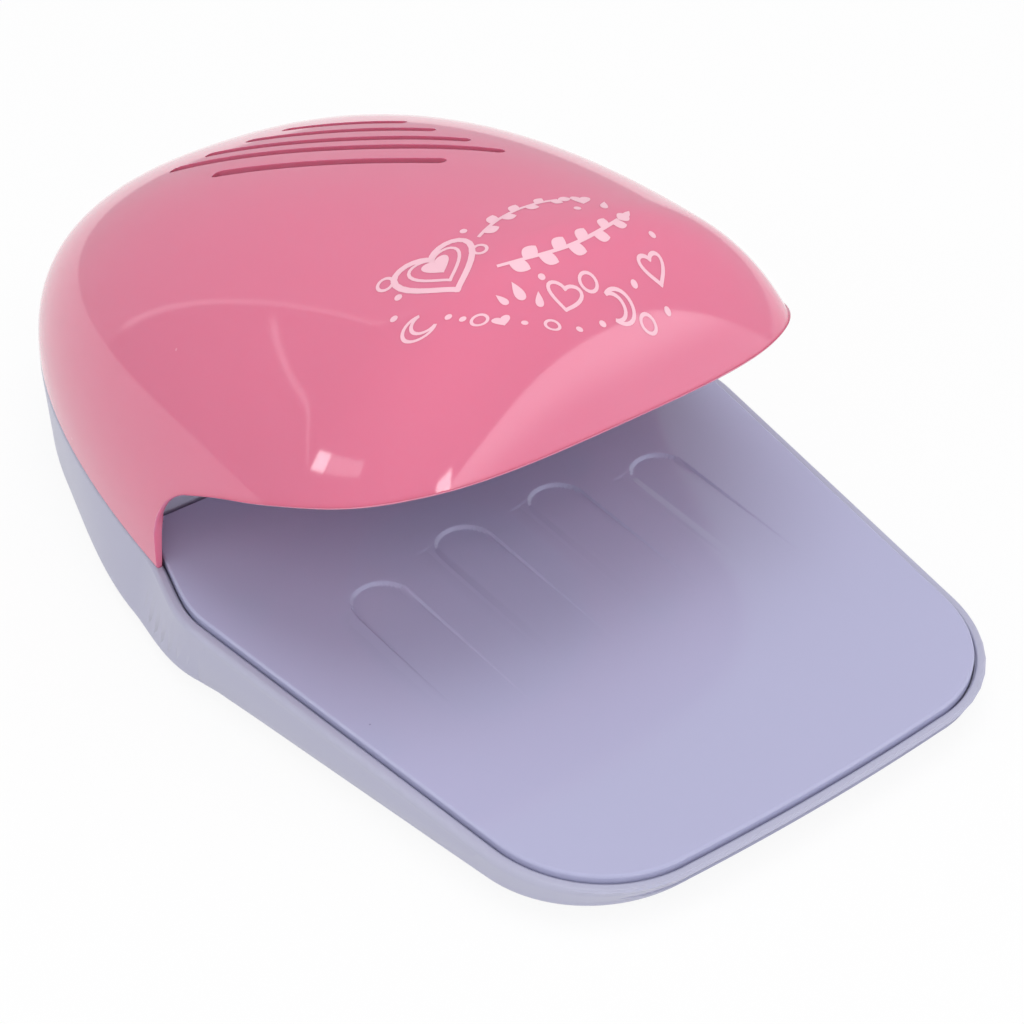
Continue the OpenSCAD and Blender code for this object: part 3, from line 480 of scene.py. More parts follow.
# colours as linear values
paints = dict(
    pink=(0.708, 0.184, 0.292), lilac=(0.425, 0.425, 0.550), plateLilac=(0.422, 0.424, 0.605),
    grilleLilac=(0.42, 0.40, 0.60), printPink=(0.84, 0.50, 0.58), coverPink=(0.66, 0.20, 0.34),
)
hoodDust = {"Speck Color": (0.86, 0.50, 0.60, 1), "Scale": 210.0, "Size": 0.045,
            "Share": 0.06, "Strength": 0.3}
plateDust = {"Speck Color": (0.16, 0.15, 0.26, 1), "Scale": 170.0, "Size": 0.035,
             "Share": 0.04, "Strength": 0.5}

plastic("hood_gloss", paints["pink"], gloss=0.06, spread=0.02, cloud=0.03, wave=0.5, waveScale=32.0,
        grain=0.0, specks=hoodDust, scatter=0.4, bumpMm=0.05)
plastic("shell_matte", paints["lilac"], gloss=0.33, spread=0.08, cloud=0.03, wave=0.4,
        grain=0.35, grainScale=3200)
plastic("plate_gloss", paints["plateLilac"], gloss=0.13, spread=0.06, cloud=0.03, wave=0.8,
        waveScale=34.0, grain=0.0, specks=plateDust, bumpMm=0.04)


def coverPlastic():
    # lilac at the wall behind the plate, blending to pink between 20 and 30 mm up, towards the ceiling
    tree, shader = plastic("cover_plastic", paints["lilac"], gloss=0.25, grain=0.1)
    height = addNode(tree, "ShaderNodeSeparateXYZ")
    tree.links.new(addNode(tree, "ShaderNodeTexCoord").outputs["Object"], height.inputs[0])
    share = remap(tree, height.outputs["Z"], 20 * toMetres, 30 * toMetres)
    lilac = shader.inputs["Base Color"].links[0].from_socket
    tree.links.new(tint(tree, share, lilac, (*paints["coverPink"], 1)), shader.inputs["Base Color"])


coverPlastic()
plastic("grille_plastic", paints["grilleLilac"], gloss=0.40, grain=0.25)
plastic("inner_white", (0.72, 0.72, 0.75), gloss=0.38, grain=0.2)
plastic("fan_white", (0.78, 0.78, 0.82), gloss=0.25, grain=0.05)
plastic("foot_rubber", (0.70, 0.69, 0.76), gloss=0.62, grain=0.5, grainScale=4000)
plastic("cap_blue", (0.03, 0.05, 0.11), gloss=0.45, grain=0.3)
plastic("switch_black", (0.015, 0.015, 0.018), gloss=0.40, grain=0.3)
plastic("switch_cream", (0.62, 0.56, 0.42), gloss=0.35, grain=0.1)
plastic("board", (0.02, 0.12, 0.05), gloss=0.30, cloud=0.12, grain=0.2, grainScale=900)
plastic("cell_metal", (0.36, 0.38, 0.42), gloss=0.28, cloud=0.05, grain=0.05)
plastic("lead_red", (0.42, 0.02, 0.03), gloss=0.42, grain=0.1)
plastic("lead_black", (0.02, 0.02, 0.025), gloss=0.42, grain=0.1)
plastic("lead_blue", (0.03, 0.07, 0.32), gloss=0.42, grain=0.1)
plastic("hood_print", paints["printPink"], gloss=0.35, cloud=0.06, grain=0.3, grainScale=1800)
metal("bright_steel", (0.62, 0.62, 0.64), 0.22)
metal("screw_steel", (0.33, 0.33, 0.36), 0.34, dull=0.25)
metal("motor_steel", (0.56, 0.57, 0.60), 0.30, lineScale=600)
metal("nickel", (0.66, 0.64, 0.58), 0.24)
metal("brass_tab", (0.62, 0.44, 0.17), 0.30)
print("materials:", len(materials))


# the hood: its mouth, its edge, its screw posts and the ceiling that four of them stand on
hood = dict(
    legY=4.55, bend=12.5, sweep=math.radians(68), lipSideHeight=28.6, lipFrontHeight=43.0,
    lipBulge=0.5, lipDip=0.3, frontDrop=0.15, lipEndY=-48.8, edgeRound=0.42, edgeThin=0.75,
    columns=300, rows=56,
    postRadius=3.2, pilotRadius=1.45, pilotDepth=6.5, joinHeight=10.8,
    posts=((37.0, 20.3), (12.0, 71.0)), coverPosts=((31.0, 4.3), (27.0, -22.7)),
    ceilingBackY=14.3, ceilingBack=28.0, ceilingFrontY=-48.8, ceilingFront=44.5,
    coverThickness=1.6,
)


def mouthLine(t):
    # the hood's edge in side view, t from 0 at the foot of the leg to 1 at the middle of the front
    h = hood
    centreY = h["legY"] - h["bend"]
    centreZ = h["lipSideHeight"] - h["bend"] * math.sin(h["sweep"])
    legEnd, bendEnd = 0.08, 0.34
    if t < legEnd:
        footZ = rimZ(h["legY"])
        return h["legY"], footZ + (centreZ - footZ) * t / legEnd
    if t < bendEnd:
        a = h["sweep"] * (t - legEnd) / (bendEnd - legEnd)
        return centreY + h["bend"] * math.cos(a), centreZ + h["bend"] * math.sin(a)
    k = (t - bendEnd) / (1 - bendEnd)
    startY = centreY + h["bend"] * math.cos(h["sweep"])
    rise = h["lipFrontHeight"] - h["lipSideHeight"]
    z = h["lipSideHeight"] + rise * (k + h["lipBulge"] * k * (1 - k))
    # a shallow dip beside the bend, and the front a trace lower
    z -= h["lipDip"] * math.exp(-((k - 0.3) / 0.13) ** 2) + h["frontDrop"] * eased((k - 0.72) / 0.08)
    return startY + (h["lipEndY"] - startY) * k, z


mouthPoints = [mouthLine(i / 400) for i in range(401)]


def mouthZ(y):
    # height below which the hood is open at y, in front of the leg
    if y >= mouthPoints[0][0]:
        return -1.0
    for (y0, z0), (y1, z1) in zip(mouthPoints, mouthPoints[1:]):
        if y <= y0 and y >= y1 and y0 != y1:
            return z0 + (z1 - z0) * (y0 - y) / (y0 - y1)
    return mouthPoints[-1][1]


def cutS(angle, inset):
    # how far down a column of the hood runs before it meets the mouth, or 1 where it reaches the seam
    low, high = 0.3, 1.0
    end = domePoint(1, angle, inset)
    if end.z >= mouthZ(end.y):
        return 1.0
    for _ in range(40):
        mid = (low + high) / 2
        p = domePoint(mid, angle, inset)
        if p.z > mouthZ(p.y):
            low = mid
        else:
            high = mid
    return low


def hoodAngles():
    # columns spread evenly along the seam and along the mouth's edge
    fine = [-math.pi / 2 + math.pi * i / 6000 for i in range(6001)]
    edge = [domePoint(cutS(a, 0), a) for a in fine]
    run = [0.0]
    for a, b in zip(edge, edge[1:]):
        run.append(run[-1] + (b - a).length)
    half, k = [], 0
    count = hood["columns"] // 2
    for i in range(count + 1):
        goal = run[-1] * i / count
        while k < len(run) - 2 and run[k + 1] < goal:
            k += 1
        part = (goal - run[k]) / max(run[k + 1] - run[k], 1e-9)
        half.append(fine[k] + (fine[k + 1] - fine[k]) * part)
    return half + [math.pi - a for a in reversed(half[1:-1])]


def buildHood():
    angles = hoodAngles()
    n, rows, wall = len(angles), hood["rows"], dome["wall"]
    outer, inner = [cutS(a, 0) for a in angles], [cutS(a, wall) for a in angles]
    spread = [1 - (1 - i / rows) ** 1.6 for i in range(1, rows + 1)]
    outerRows = [[domePoint(outer[j] * s, angles[j]) for j in range(n)] for s in spread]
    # the wall thins towards its edge
    innerRows = [[domePoint(inner[j] * s, angles[j], wall - hood["edgeThin"] * s ** 10) for j in range(n)]
                 for s in spread]
    # the edge is rounded: both skins stop short of it and an arc joins them
    r = hood["edgeRound"]
    lipOut, lipIn = outerRows[-1], innerRows[-1]
    arcs = [[] for _ in range(7)]
    for j in range(n):
        a, b = lipOut[j], lipIn[j]
        across = (b - a).normalized()
        back = outerRows[-4][j] - a
        back = (back - across * back.dot(across)).normalized()
        for k in range(4):
            turn = math.pi / 2 * k / 3
            arcs[k].append(a + back * r * (1 - math.sin(turn)) + across * r * (1 - math.cos(turn)))
        for k in range(3):
            turn = math.pi / 2 * k / 2
            arcs[4 + k].append(b - across * r * (1 - math.sin(turn)) + back * r * (1 - math.cos(turn)))
    rings = outerRows[:-1] + arcs + innerRows[-2::-1]
    points = [domePoint(0, 0)] + [p for ring in rings for p in ring] + [domePoint(0, 0, wall)]
    faces = [(0, 1 + (j + 1) % n, 1 + j) for j in range(n)]
    for k in range(len(rings) - 1):
        a, b = 1 + k * n, 1 + (k + 1) * n
        faces += [(a + j, a + (j + 1) % n, b + (j + 1) % n, b + j) for j in range(n)]
    last, top = 1 + (len(rings) - 1) * n, 1 + len(rings) * n
    faces += [(top, last + j, last + (j + 1) % n) for j in range(n)]
    obj = addMesh("hoodShell", points, faces)
    fixNormals(obj)
    return obj


# five curved slots side by side; back and front say how far each runs, as shares of the length
vents = dict(
    width=2.0, bendRadius=120.0, turn=math.radians(-57), length=53.0, shift=-1.0,
    rows=(-4.2, 1.6, 5.8, 10.6, 15.6), back=(0.45, 0.67, 0.58, 0.48, 0.40),
    front=(0.21, 0.33, 0.21, 0.08, -0.04),
)


def cutVents(shell):
    v, bend = vents, vents["bendRadius"]
    spin = Matrix.Rotation(v["turn"], 4, "Z")
    sideSteps, endSteps = 32, 8
    for row, back, front in zip(v["rows"], v["back"], v["front"]):
        low, high = -back * v["length"] / bend, front * v["length"] / bend
        loop = []
        for side, (a0, a1) in ((1, (low, high)), (-1, (high, low))):
            half = side * v["width"] / 2
            loop += [(bend - half, a0 + (a1 - a0) * i / sideSteps) for i in range(sideSteps + 1)]
            for i in range(1, endSteps):
                t = math.pi * i / endSteps
                loop.append((bend - half * math.cos(t), a1 + half / bend * math.sin(t)))
        ring = []
        for radius, a in loop:
            flat = Vector((v["shift"] + radius * math.sin(a), row + bend - radius * math.cos(a), 0))
            ring.append(spin @ flat + Vector((0, body["hingeLine"], 0)))
        lift = [Vector((0, 0, z)) for z in (30, 80)]
        carve(shell, loft("ventCutter", [[p + up for p in ring] for up in lift]))


def ceilingPlace(x, y):
    # a frame on the inner cover's upper face, square to it
    h = hood
    fall = math.atan2(h["ceilingFront"] - h["ceilingBack"], h["ceilingBackY"] - h["ceilingFrontY"])
    z = h["ceilingBack"] + math.tan(fall) * (h["ceilingBackY"] - y) + h["coverThickness"] / math.cos(fall)
    return Matrix.Translation((x, y, z)) @ Matrix.Rotation(-fall, 4, "X")


def hoodPosts():
    # posts with pilot holes, cut off inside the hood's wall
    h, tall = hood, 60
    places = [Matrix.Translation((side * x, y, h["joinHeight"])) for x, y in h["posts"] for side in (-1, 1)]
    places += [ceilingPlace(side * x, y) for x, y in h["coverPosts"] for side in (-1, 1)]
    posts, pilots = [], []
    for place in places:
        start, end = place @ Vector((0, 0, 0)), place @ Vector((0, 0, tall))
        posts.append(addTube("post", start, end, h["postRadius"]))
        start, end = place @ Vector((0, 0, -1)), place @ Vector((0, 0, h["pilotDepth"]))
        pilots.append(addTube("pilot", start, end, h["pilotRadius"], 24))
    joinInto(posts[0], posts[1:])
    joinInto(pilots[0], pilots[1:])
    inset, around, rows = dome["wall"] / 2, 160, 40
    turns = [-2 * math.pi * i / around for i in range(around)]
    rings = [[domePoint(1 - 0.99 * (k / rows) ** 1.5, a, inset) for a in turns] for k in range(rows + 1)]
    rings.insert(0, [Vector((p.x, p.y, 0)) for p in rings[0]])
    carve(posts[0], loft("postEnds", rings), "INTERSECT")
    return carve(posts[0], pilots[0])


def makeHood():
    shell = buildHood()
    cutVents(shell)
    joinInto(shell, [hoodPosts()])
    smooth(shell, 40)
    finishPiece(shell, "shell", "hood_gloss", ["hood"])
    return shell


hoodShell = makeHood()


# the hood's print: line drawings in a frame laid on the brow, u along it and v towards the crown
artwork = dict(origin=(-5.0, -24.8), turn=math.radians(-17), lift=0.035, step=0.45, drawIn=0.024)


def hoodSurface():
    mesh = hoodShell.data
    points = [v.co / toMetres for v in mesh.vertices]
    return BVHTree.FromPolygons(points, [list(f.vertices) for f in mesh.polygons])


def lay(tree, u, v):
    a = artwork
    v += a["drawIn"] * v * v if v < 0 else 0   # the brow falls away towards the lip
    x = a["origin"][0] + u * math.cos(a["turn"]) - v * math.sin(a["turn"])
    y = a["origin"][1] + u * math.sin(a["turn"]) + v * math.cos(a["turn"])
    place, normal, _, _ = tree.ray_cast(Vector((x, y, 90)), Vector((0, 0, -1)))
    return place + normal * a["lift"]


def evenly(path, closed):
    # the same path with points a short step apart
    points = [Vector(p) for p in path] + ([Vector(path[0])] if closed else [])
    even = []
    for a, b in zip(points, points[1:]):
        count = max(1, math.ceil((b - a).length / artwork["step"]))
        even += [a + (b - a) * i / count for i in range(count)]
    return even if closed else even + [points[-1]]


def ribbon(path, closed, width):
    # two edges beside a path, as quads in the plane of the artwork
    half = width / 2
    points = evenly(path, closed)
    n = len(points)
    edges = []
    for i, p in enumerate(points):
        before = points[i - 1] if closed or i else p
        after = points[(i + 1) % n] if closed or i < n - 1 else p
        along = (after - before).normalized()
        side = Vector((-along.y, along.x)) * half
        edges += [p + side, p - side]
    pairs = [(i, (i + 1) % n) for i in range(n if closed else n - 1)]
    return edges, [(2 * i, 2 * i + 1, 2 * k + 1, 2 * k) for i, k in pairs]


def blob(path):
    # a filled shape, in rings so that it bends with the hood
    points = evenly(path, True)
    n = len(points)
    middle = sum(points, Vector((0, 0))) / n
    rings = [middle + (p - middle) * k / 3 for k in (1, 2, 3) for p in points]
    faces = [(3 * n, i, (i + 1) % n) for i in range(n)]
    for a, b in ((0, n), (n, 2 * n)):
        faces += [(a + i, b + i, b + (i + 1) % n, a + (i + 1) % n) for i in range(n)]
    return rings + [middle], faces


def placed(path, at, size, turn):
    c, n = math.cos(math.radians(turn)) * size, math.sin(math.radians(turn)) * size
    return [(at[0] + u * c - v * n, at[1] + u * n + v * c) for u, v in path]


def heartPath():
    turns = [2 * math.pi * i / 40 for i in range(40)]
    return [(math.sin(t) ** 3, 0.81 * math.cos(t) - 0.32 * math.cos(2 * t) - 0.12 * math.cos(3 * t))
            for t in turns]


def dropPath():
    turns = [2 * math.pi * i / 28 for i in range(28)]
    return [(0.62 * math.sin(t) * math.sin(t / 2) ** 1.4, math.cos(t)) for t in turns]


def leafPath():
    up = [(0.36 * math.sin(math.pi * i / 10) ** 0.8, i / 10) for i in range(11)]
    return up + [(-u, v) for u, v in reversed(up[1:-1])]


def ringPath(sides=24):
    return [(math.cos(2 * math.pi * i / sides), math.sin(2 * math.pi * i / sides)) for i in range(sides)]


def moonPath():
    shift, radius = 0.42, 0.80
    outer = [(math.cos(math.radians(a)), math.sin(math.radians(a))) for a in range(50, 311, 13)]
    return outer + [(shift + radius * math.cos(math.radians(a)), radius * math.sin(math.radians(a)))
                    for a in range(285, 74, -14)]


def sprig(start, end, bow, leaves, size):
    # a bowed stem with leaves by turns on both sides
    a, b = Vector(start), Vector(end)
    steps, opened = 40, 34
    side = Vector((-(b - a).y, (b - a).x)).normalized() * bow
    stem = [a + (b - a) * t + side * 4 * t * (1 - t) for t in [i / steps for i in range(steps + 1)]]
    shapes = [ribbon([tuple(p) for p in stem], False, 0.5)]
    for i in range(leaves):
        k = 3 + round((steps - 6) * i / (leaves - 1))
        along = stem[min(k + 1, steps)] - stem[k - 1]
        lean = math.degrees(math.atan2(along.y, along.x)) - 90
        shapes.append(filled(leafPath(), stem[k], size * (1 - 0.3 * i / leaves),
                             lean + (opened if i % 2 else -opened)))
    return shapes + [filled(leafPath(), stem[-1], size * 0.8, lean)]


def outlined(path, at, size, turn=0.0, width=0.5):
    return ribbon(placed(path, at, size, turn), True, width)


def filled(path, at, size, turn=0.0):
    return blob(placed(path, at, size, turn))


def makePrint():
    tree = hoodSurface()
    heart, drop, ring, moon = heartPath(), dropPath(), ringPath(), moonPath()
    # the large heart, then the two sprigs, then what is strewn round them
    shapes = [outlined(heart, (-11.0, 1.2), 5.4, 8, 0.85), outlined(heart, (-11.0, 1.6), 3.5, 8, 0.45),
              filled(heart, (-11.0, 1.9), 1.9, 8)]
    shapes += sprig((-4.4, -2.6), (15.0, 3.4), -1.8, 9, 3.0)
    shapes += sprig((-4.4, 4.2), (8.8, 9.4), 1.3, 7, 2.4)
    shapes += [outlined(heart, (17.6, -2.6), 1.9, 20), outlined(heart, (3.4, -8.2), 2.3, -10),
               filled(heart, (12.0, 9.0), 1.4, -8), filled(heart, (-6.2, -12.4), 1.3, 10)]
    shapes += [filled(drop, at, size, turn) for at, size, turn in (
        ((-3.0, -7.4), 1.7, 14), ((-0.4, -9.0), 1.3, -6), ((-5.4, -8.4), 1.2, 30),
        ((14.6, 7.2), 1.2, -24), ((17.0, 5.0), 1.0, -40))]
    shapes += [outlined(moon, (-16.4, -7.4), 2.2, 25), outlined(moon, (11.0, -8.4), 2.1, 195)]
    shapes += [outlined(ring, at, size, 0, 0.45) for at, size in (
        ((-17.6, 3.4), 1.0), ((7.2, -6.0), 1.2), ((-5.2, 1.6), 0.9),
        ((15.0, -9.4), 1.1), ((-9.0, -11.2), 1.1), ((0.6, -13.6), 1.0))]
    shapes += [filled(ring, at, 0.5) for at in (
        (-17.0, 0.0), (-5.6, 6.6), (10.4, 6.4), (19.2, 1.6), (-12.6, -8.2), (8.0, -11.4), (14.0, -5.2),
        (-18.6, -3.0), (-11.0, -9.8), (0.8, -5.6), (4.4, -13.4), (-3.2, -13.4), (18.4, -7.0))]
    points, faces = [], []
    for shapePoints, shapeFaces in shapes:
        faces += [tuple(i + len(points) for i in face) for face in shapeFaces]
        points += [lay(tree, p.x, p.y) for p in shapePoints]
    obj = addMesh("hoodPrint", points, faces)
    for face in obj.data.polygons:
        if face.normal.z < 0:
            face.flip()
    finishPiece(obj, "shell", "hood_print")


makePrint()


# the base; gapStep closes most of the gap beside the plate at a small depth
skin = dict(
    proud=0.03, lowTop=1.12, upperDrop=0.9, rimRound=0.7, innerRound=0.3, setBack=0.05,
    gapStep=0.26, gapTop=-0.52, gapLow=-0.62,
)


def makeBaseSkin():
    # a thin skin that rounds what the faceted wall and rim of the CAD base only outline
    s, footZ, rimIn = skin, body["footHeight"], body["rimWidth"]
    proud, lowTop, upperDrop, rimRound = s["proud"], s["lowTop"], s["upperDrop"], s["rimRound"]

    def wall(inset, share, tuck, height):
        ring = []
        for p in outline(inset):
            q = wallPoint(p, share, tuck)
            ring.append(Vector((q.x, q.y, height(p.y))))
        return ring

    rings = [wall(foot["edge"] + 1.2, 1, 1, lambda y: footZ - proud)]
    for i in range(9):
        t = math.pi / 2 * i / 8
        z = footZ - proud + lowTop * (1 - math.cos(t))
        rings.append(wall(foot["edge"] - (foot["edge"] - 0.5 + proud) * math.sin(t), 1, 1, lambda y, z=z: z))
    lowZ = footZ - proud + lowTop
    for i in range(1, 7):
        k = i / 6
        rings.append(wall(0.5 * (1 - k) - proud, 1 - k, 1 + (foot["upperTuck"] - 1) * k,
                          lambda y, k=k: lowZ + (rimZ(y) - upperDrop - lowZ) * k))
    for i in range(1, 9):
        t = math.pi / 2 * i / 8
        rings.append(wall(rimRound * (1 - math.cos(t)) - proud, 0, foot["upperTuck"] * (1 - i / 8),
                          lambda y, t=t: rimZ(y) - upperDrop + (upperDrop + proud) * math.sin(t)))
    r, edge = s["innerRound"], rimIn + s["setBack"]
    for i in range(4):
        t = math.pi / 2 * i / 3
        rings.append(ringOn(edge - r * (1 - math.sin(t)), proud - r * (1 - math.cos(t))))
    rings.append(ringOn(edge, s["gapTop"]))
    rings.append(ringOn(rimIn + s["gapStep"], s["gapLow"]))
    rings.append(ringOn(rimIn + s["gapStep"], -body["ledgeDepth"] + 0.15))
    rings.append(ringOn(rimIn - 0.4, -body["ledgeDepth"] - 0.2))
    obj = loft("baseSkin", rings, loop=True)
    smooth(obj, 50)
    finishPiece(obj, "shell", "shell_matte")


makeBaseSkin()


def makeBase():
    # the base with the ledge that the plate's edge sinks on to, cut into a copy of the CAD solid
    solid = cadNodes["base"]
    obj = bpy.data.objects.new("baseTub", solid.data.copy())
    bpy.context.scene.collection.objects.link(obj)
    obj.matrix_world = solid.matrix_world.copy()
    fixNormals(obj)
    rings = [ringOn(body["rimWidth"], -body["ledgeDepth"]), ringOn(body["rimWidth"], 2)]
    ledge = loft("ledgeCutter", rings)
    back = body["hingeLine"] - 0.4
    carve(ledge, addBox("behind", (-80, back, -10), (80, back + 120, 60)))
    carve(obj, ledge)
    smooth(obj, 26, weighted=False)
    finishPiece(obj, "shell", "shell_matte", ["base"])


makeBase()


# the press plate; each groove starts at its tip and fades out towards the front
plate = dict(
    edgeRound=0.45, proud=0.03, lidDepth=1.6, halfWidth=52.0,
    groovePitch=17.0, grooveWidth=9.5, grooveLength=31.5, grooveDepth=0.5,
    grooveStart=25.5, grooveStep=3.1, grooveSoft=0.4,
)


def grooveDrop(x, y):
    # how far the plate's face lies lower at a point
    p, r = plate, plate["grooveWidth"] / 2
    for i in range(4):
        dx = x - (i - 1.5) * p["groovePitch"]
        if abs(dx) > r:
            continue
        ahead = body["hingeLine"] - p["grooveStart"] - (p["grooveStep"] if i in (0, 3) else 0) - y
        depth = p["grooveDepth"] * (1 - ahead / p["grooveLength"])
        inside = r - (math.hypot(dx, ahead - r) if ahead < r else abs(dx))
        if depth <= 0 or inside <= 0 or ahead <= 0:
            return 0.0
        return depth * eased(inside / p["grooveSoft"])
    return 0.0


def gridLines(low, high, step, dense):
    # even steps, with finer ones inside the dense spans
    lines, at = [], low
    while at < high:
        lines.append(at)
        fine = [d for a, b, d in dense if a <= at < b]
        at += min(fine) if fine else step
    return lines + [high]


def makePlate():
    # a lid over the CAD plate, with soft groove edges and a rounded rim
    p, r = plate, plate["grooveWidth"] / 2
    inset = body["rimWidth"] + body["plateGap"]
    coarse, middling, fine = 2.0, 0.4, 0.1
    xDense = []
    for i in range(4):
        c = (i - 1.5) * p["groovePitch"]
        xDense += [(c - r - 0.3, c + r + 0.3, middling),
                   (c - r - 0.2, c - r + 0.7, fine), (c + r - 0.7, c + r + 0.2, fine)]
    tipY = body["hingeLine"] - p["grooveStart"]
    yDense = [(tipY - p["grooveStep"] - 5, tipY + 0.6, 0.14)]
    xs = gridLines(-p["halfWidth"], p["halfWidth"], coarse, xDense)
    ys = gridLines(body["frontY"] - 2, body["hingeLine"] + 2, coarse, yDense)
    nx, ny = len(xs), len(ys)
    points = [(x, y, plateZ(y) + p["proud"] - grooveDrop(x, y)) for y in ys for x in xs]
    points += [(x, y, 0.0) for y in (ys[0], ys[-1]) for x in (xs[0], xs[-1])]
    faces = [(j * nx + i, j * nx + i + 1, (j + 1) * nx + i + 1, (j + 1) * nx + i)
             for j in range(ny - 1) for i in range(nx - 1)]
    # the slab's bottom and its four sides
    a = nx * ny
    faces.append((a, a + 2, a + 3, a + 1))
    faces.append((a, a + 1, *reversed(range(nx))))
    faces.append((a + 3, a + 2, *range((ny - 1) * nx, ny * nx)))
    faces.append((a + 2, a, *range(0, ny * nx, nx)))
    faces.append((a + 1, a + 3, *reversed(range(nx - 1, ny * nx, nx))))
    slab = addMesh("plateSlab", points, faces)
    fixNormals(slab)
    edge, top = p["edgeRound"], body["plateProud"] + p["proud"]
    rings = [ringOn(inset, top - p["lidDepth"])]
    for i in range(9):
        t = math.pi / 2 * i / 8
        rings.append(ringOn(inset + edge * (1 - math.cos(t)), top + 0.005 - edge * (1 - math.sin(t))))
    lid = loft("pressPlateLid", rings)
    carve(lid, slab, "INTERSECT")
    hinge = body["hingeLine"] + p["proud"]
    carve(lid, addBox("behind", (-80, hinge, -10), (80, hinge + 60, 60)))
    smooth(lid, 28)
    finishPiece(lid, "plate", "plate_gloss")


makePlate()


def dressCadNodes():
    # the pieces that are shown as the CAD nodes they are
    for name, obj in cadNodes.items():
        obj.data.materials.clear()
        obj.data.materials.append(materials["cover_plastic" if name == "inner_cover" else slotOf[name]])
        if not obj.hide_render:
            obj.data.polygons.foreach_set("use_smooth", [True] * len(obj.data.polygons))
            obj.data.set_sharp_from_angle(angle=math.radians(26))
    print("dressed", len(slotOf), "CAD nodes")


dressCadNodes()


# the studio: a plain room, four large lamps, and the panels that the hood's gloss mirrors
studio = dict(
    table=((-300, -420), (420, 300)), tableGap=0.03, aim=(0, -10, 20),
    wall=0.42, farWall=0.61,
    lamps=(
        dict(name="overhead", position=(60, 40, 900), size=(700, 700), watts=3.2),
        dict(name="front", position=(-420, -620, 620), size=(600, 600), watts=2.5),
        dict(name="left", position=(-850, -100, 420), size=(500, 500), watts=0.8),
        dict(name="right", position=(650, -520, 520), size=(500, 500), watts=0.65),
    ),
)


def turned(azimuth):
    # degrees clockwise from +y, as seen from above
    return math.sin(math.radians(azimuth)), math.cos(math.radians(azimuth))


def buildEdgeGroup():
    # 1 on one side of a plane through the eye, 0 on the other
    tree, given, out = newGroup("panelEdge", [
        ("Direction", "NodeSocketVector", (0, 0, 1)),
        ("Normal", "NodeSocketVector", (0, 0, 1)),
        ("Offset", "NodeSocketFloat", 0.0),
        ("Softness", "NodeSocketFloat", 0.02),
    ], [("Mask", "NodeSocketFloat")])
    links, offset, soft = tree.links, given.outputs["Offset"], given.outputs["Softness"]
    dot = addNode(tree, "ShaderNodeVectorMath", {"operation": "DOT_PRODUCT"})
    links.new(given.outputs["Direction"], dot.inputs[0])
    links.new(given.outputs["Normal"], dot.inputs[1])
    step = addNode(tree, "ShaderNodeMapRange", {"interpolation_type": "SMOOTHSTEP"})
    links.new(dot.outputs["Value"], step.inputs["Value"])
    links.new(combine(tree, "SUBTRACT", offset, soft), step.inputs["From Min"])
    links.new(combine(tree, "ADD", offset, soft), step.inputs["From Max"])
    links.new(step.outputs["Result"], out.inputs["Mask"])
    return tree


edgeGroup = buildEdgeGroup()


def edgesBetween(fromTurn, toTurn, low, high, soft):
    # a patch of the room between two turns and two heights, in degrees
    (sin0, cos0), (sin1, cos1) = turned(fromTurn), turned(toTurn)
    return [((cos0, -sin0, 0), 0.0, soft), ((-cos1, sin1, 0), 0.0, soft),
            ((0, 0, 1), math.sin(math.radians(low)), soft),
            ((0, 0, -1), -math.sin(math.radians(high)), soft)]


def stripe(normal, offset, width):
    # a thin line along a plane
    back = tuple(-v for v in normal)
    return [(normal, offset - width, width), (back, -offset - width, width)]


def towards(azimuth, height):
    x, y = turned(azimuth)
    level = math.cos(math.radians(height))
    return Vector((x * level, y * level, math.sin(math.radians(height))))


def below(a, b, soft=0.012):
    # the room below a slanting line through two directions
    normal = towards(*a).cross(towards(*b)).normalized()
    return [(tuple(normal if normal.z < 0 else -normal), 0.0, soft)]


def above(a, b, soft=0.012):
    return [(tuple(-v for v in normal), offset, width) for normal, offset, width in below(a, b, soft)]


def roomPanels():
    # what each panel adds to the room's level: the far wall, its seam, a fold in it, the window sill
    # with its hot spot, the bright panel beside the mouth in two steps, and a glint
    farSide, farEdge, thin = (0.8858, 0.4641, 0.0), 0.093, 0.009
    fold = below((-28, 28.5), (-55, 16.5))[0][0]
    sill = below((-60, 20), (-106, 31)) + above((-66, 16), (-98, 25))
    key = below((185, 10), (143, 15.5)) + below((143, 17), (123, 5))
    return [
        dict(edges=[(farSide, farEdge, 0.01)], level=studio["farWall"] - studio["wall"]),
        dict(edges=stripe(farSide, farEdge, thin) + edgesBetween(-50, 60, 0, 60, 0.05), level=1.1),
        dict(edges=stripe(fold, 0.0, thin) + edgesBetween(-64, -26, 14, 31, 0.03), level=1.7),
        dict(edges=sill + edgesBetween(-106, -62, 12, 34, 0.01), level=2.2),
        dict(edges=sill + edgesBetween(-72, -62, 12, 34, 0.02), level=7.0),
        dict(edges=key + edgesBetween(100, 197, 6, 30, 0.08), level=1.9),
        dict(edges=key + edgesBetween(100, 197, -14, 30, 0.05), level=0.75),
        dict(edges=edgesBetween(183, 190, 8, 14, 0.01), level=9.0),
    ]


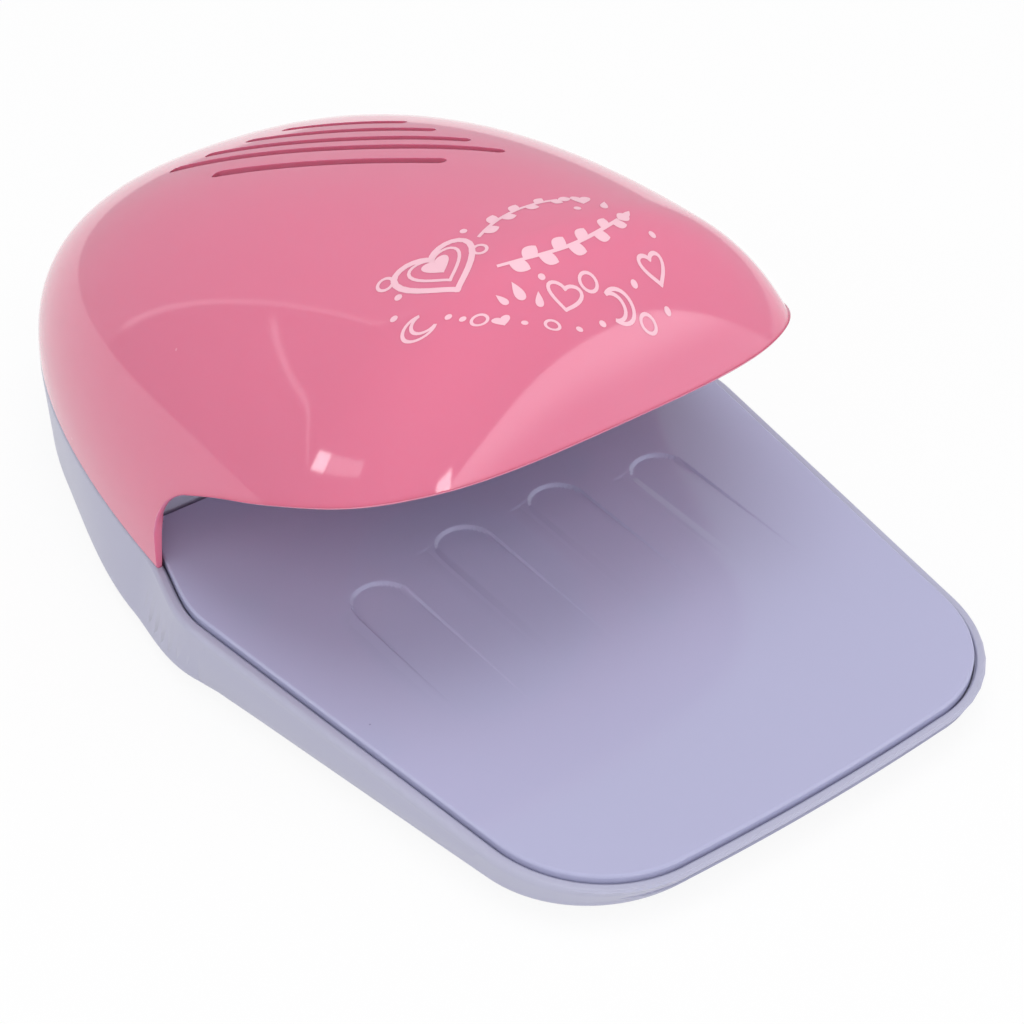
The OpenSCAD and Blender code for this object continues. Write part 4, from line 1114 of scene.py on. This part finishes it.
def buildWorld():
    # the room with its panels lights and mirrors; the camera itself sees plain white
    world = bpy.data.worlds.new("studioWorld")
    bpy.context.scene.world = world
    world.use_nodes = True
    tree = world.node_tree
    links, room = tree.links, tree.nodes["Background"]
    direction = addNode(tree, "ShaderNodeVectorMath", {"operation": "NORMALIZE"})
    links.new(addNode(tree, "ShaderNodeTexCoord").outputs["Generated"], direction.inputs[0])
    level = studio["wall"]
    for panel in roomPanels():
        mask = 1.0
        for normal, offset, soft in panel["edges"]:
            edge = placeGroup(tree, edgeGroup, {"Normal": normal, "Offset": offset, "Softness": soft})
            links.new(direction.outputs[0], edge.inputs["Direction"])
            mask = combine(tree, "MULTIPLY", mask, edge.outputs["Mask"])
        level = combine(tree, "ADD", level, combine(tree, "MULTIPLY", mask, panel["level"]))
    room.inputs["Color"].default_value = (0.97, 0.975, 1.0, 1)
    links.new(level, room.inputs["Strength"])
    white = addNode(tree, "ShaderNodeBackground", values={"Color": (1, 1, 1, 1), "Strength": 1.0})
    path, mix = addNode(tree, "ShaderNodeLightPath"), addNode(tree, "ShaderNodeMixShader")
    links.new(path.outputs["Is Camera Ray"], mix.inputs["Fac"])
    links.new(room.outputs[0], mix.inputs[1])
    links.new(white.outputs[0], mix.inputs[2])
    links.new(mix.outputs[0], tree.nodes["World Output"].inputs["Surface"])


def buildTable():
    # white paper: seen as white, also in the gloss, with a trace of the object's shadow,
    # and not seen from below
    (x0, y0), (x1, y1) = studio["table"]
    z = -studio["tableGap"]
    corners = [(x0, y0, z), (x1, y0, z), (x1, y1, z), (x0, y1, z)]
    table = addMesh("studioTable", corners, [(0, 1, 2, 3)])
    paper = bpy.data.materials.new("tablePaper")
    paper.use_nodes = True
    table.data.materials.append(paper)
    tree = paper.node_tree
    nodes, links = tree.nodes, tree.links
    shader = nodes["Principled BSDF"]
    shader.inputs["Base Color"].default_value = (0.85, 0.85, 0.85, 1)
    shader.inputs["Roughness"].default_value = 0.9
    shader.inputs["Specular IOR Level"].default_value = 0.0
    white = addNode(tree, "ShaderNodeEmission", values={"Color": (1, 1, 1, 1), "Strength": 1.0})
    path = addNode(tree, "ShaderNodeLightPath")
    gloss = combine(tree, "MAXIMUM", path.outputs["Is Glossy Ray"], path.outputs["Is Transmission Ray"])
    share = combine(tree, "MAXIMUM", gloss, combine(tree, "MULTIPLY", path.outputs["Is Camera Ray"], 0.9))
    mix = addNode(tree, "ShaderNodeMixShader")
    links.new(share, mix.inputs["Fac"])
    links.new(shader.outputs[0], mix.inputs[1])
    links.new(white.outputs[0], mix.inputs[2])
    under = addNode(tree, "ShaderNodeMixShader")
    links.new(addNode(tree, "ShaderNodeNewGeometry").outputs["Backfacing"], under.inputs["Fac"])
    links.new(mix.outputs[0], under.inputs[1])
    links.new(addNode(tree, "ShaderNodeBsdfTransparent").outputs[0], under.inputs[2])
    links.new(under.outputs[0], nodes["Material Output"].inputs["Surface"])


def addLamps():
    # large soft lamps that light the object and stay out of its gloss
    for given in studio["lamps"]:
        lamp = bpy.data.objects.new(given["name"], bpy.data.lights.new(given["name"], "AREA"))
        bpy.context.scene.collection.objects.link(lamp)
        place = Vector(given["position"])
        lamp.location = place * toMetres
        lamp.rotation_euler = (Vector(studio["aim"]) - place).to_track_quat("-Z", "Y").to_euler()
        lamp.data.shape = "RECTANGLE"
        lamp.data.size, lamp.data.size_y = (side * toMetres for side in given["size"])
        lamp.data.energy = given["watts"]
        lamp.visible_glossy = False


buildWorld()
buildTable()
addLamps()
bpy.context.scene.view_settings.view_transform = "Standard"
print("studio ready")
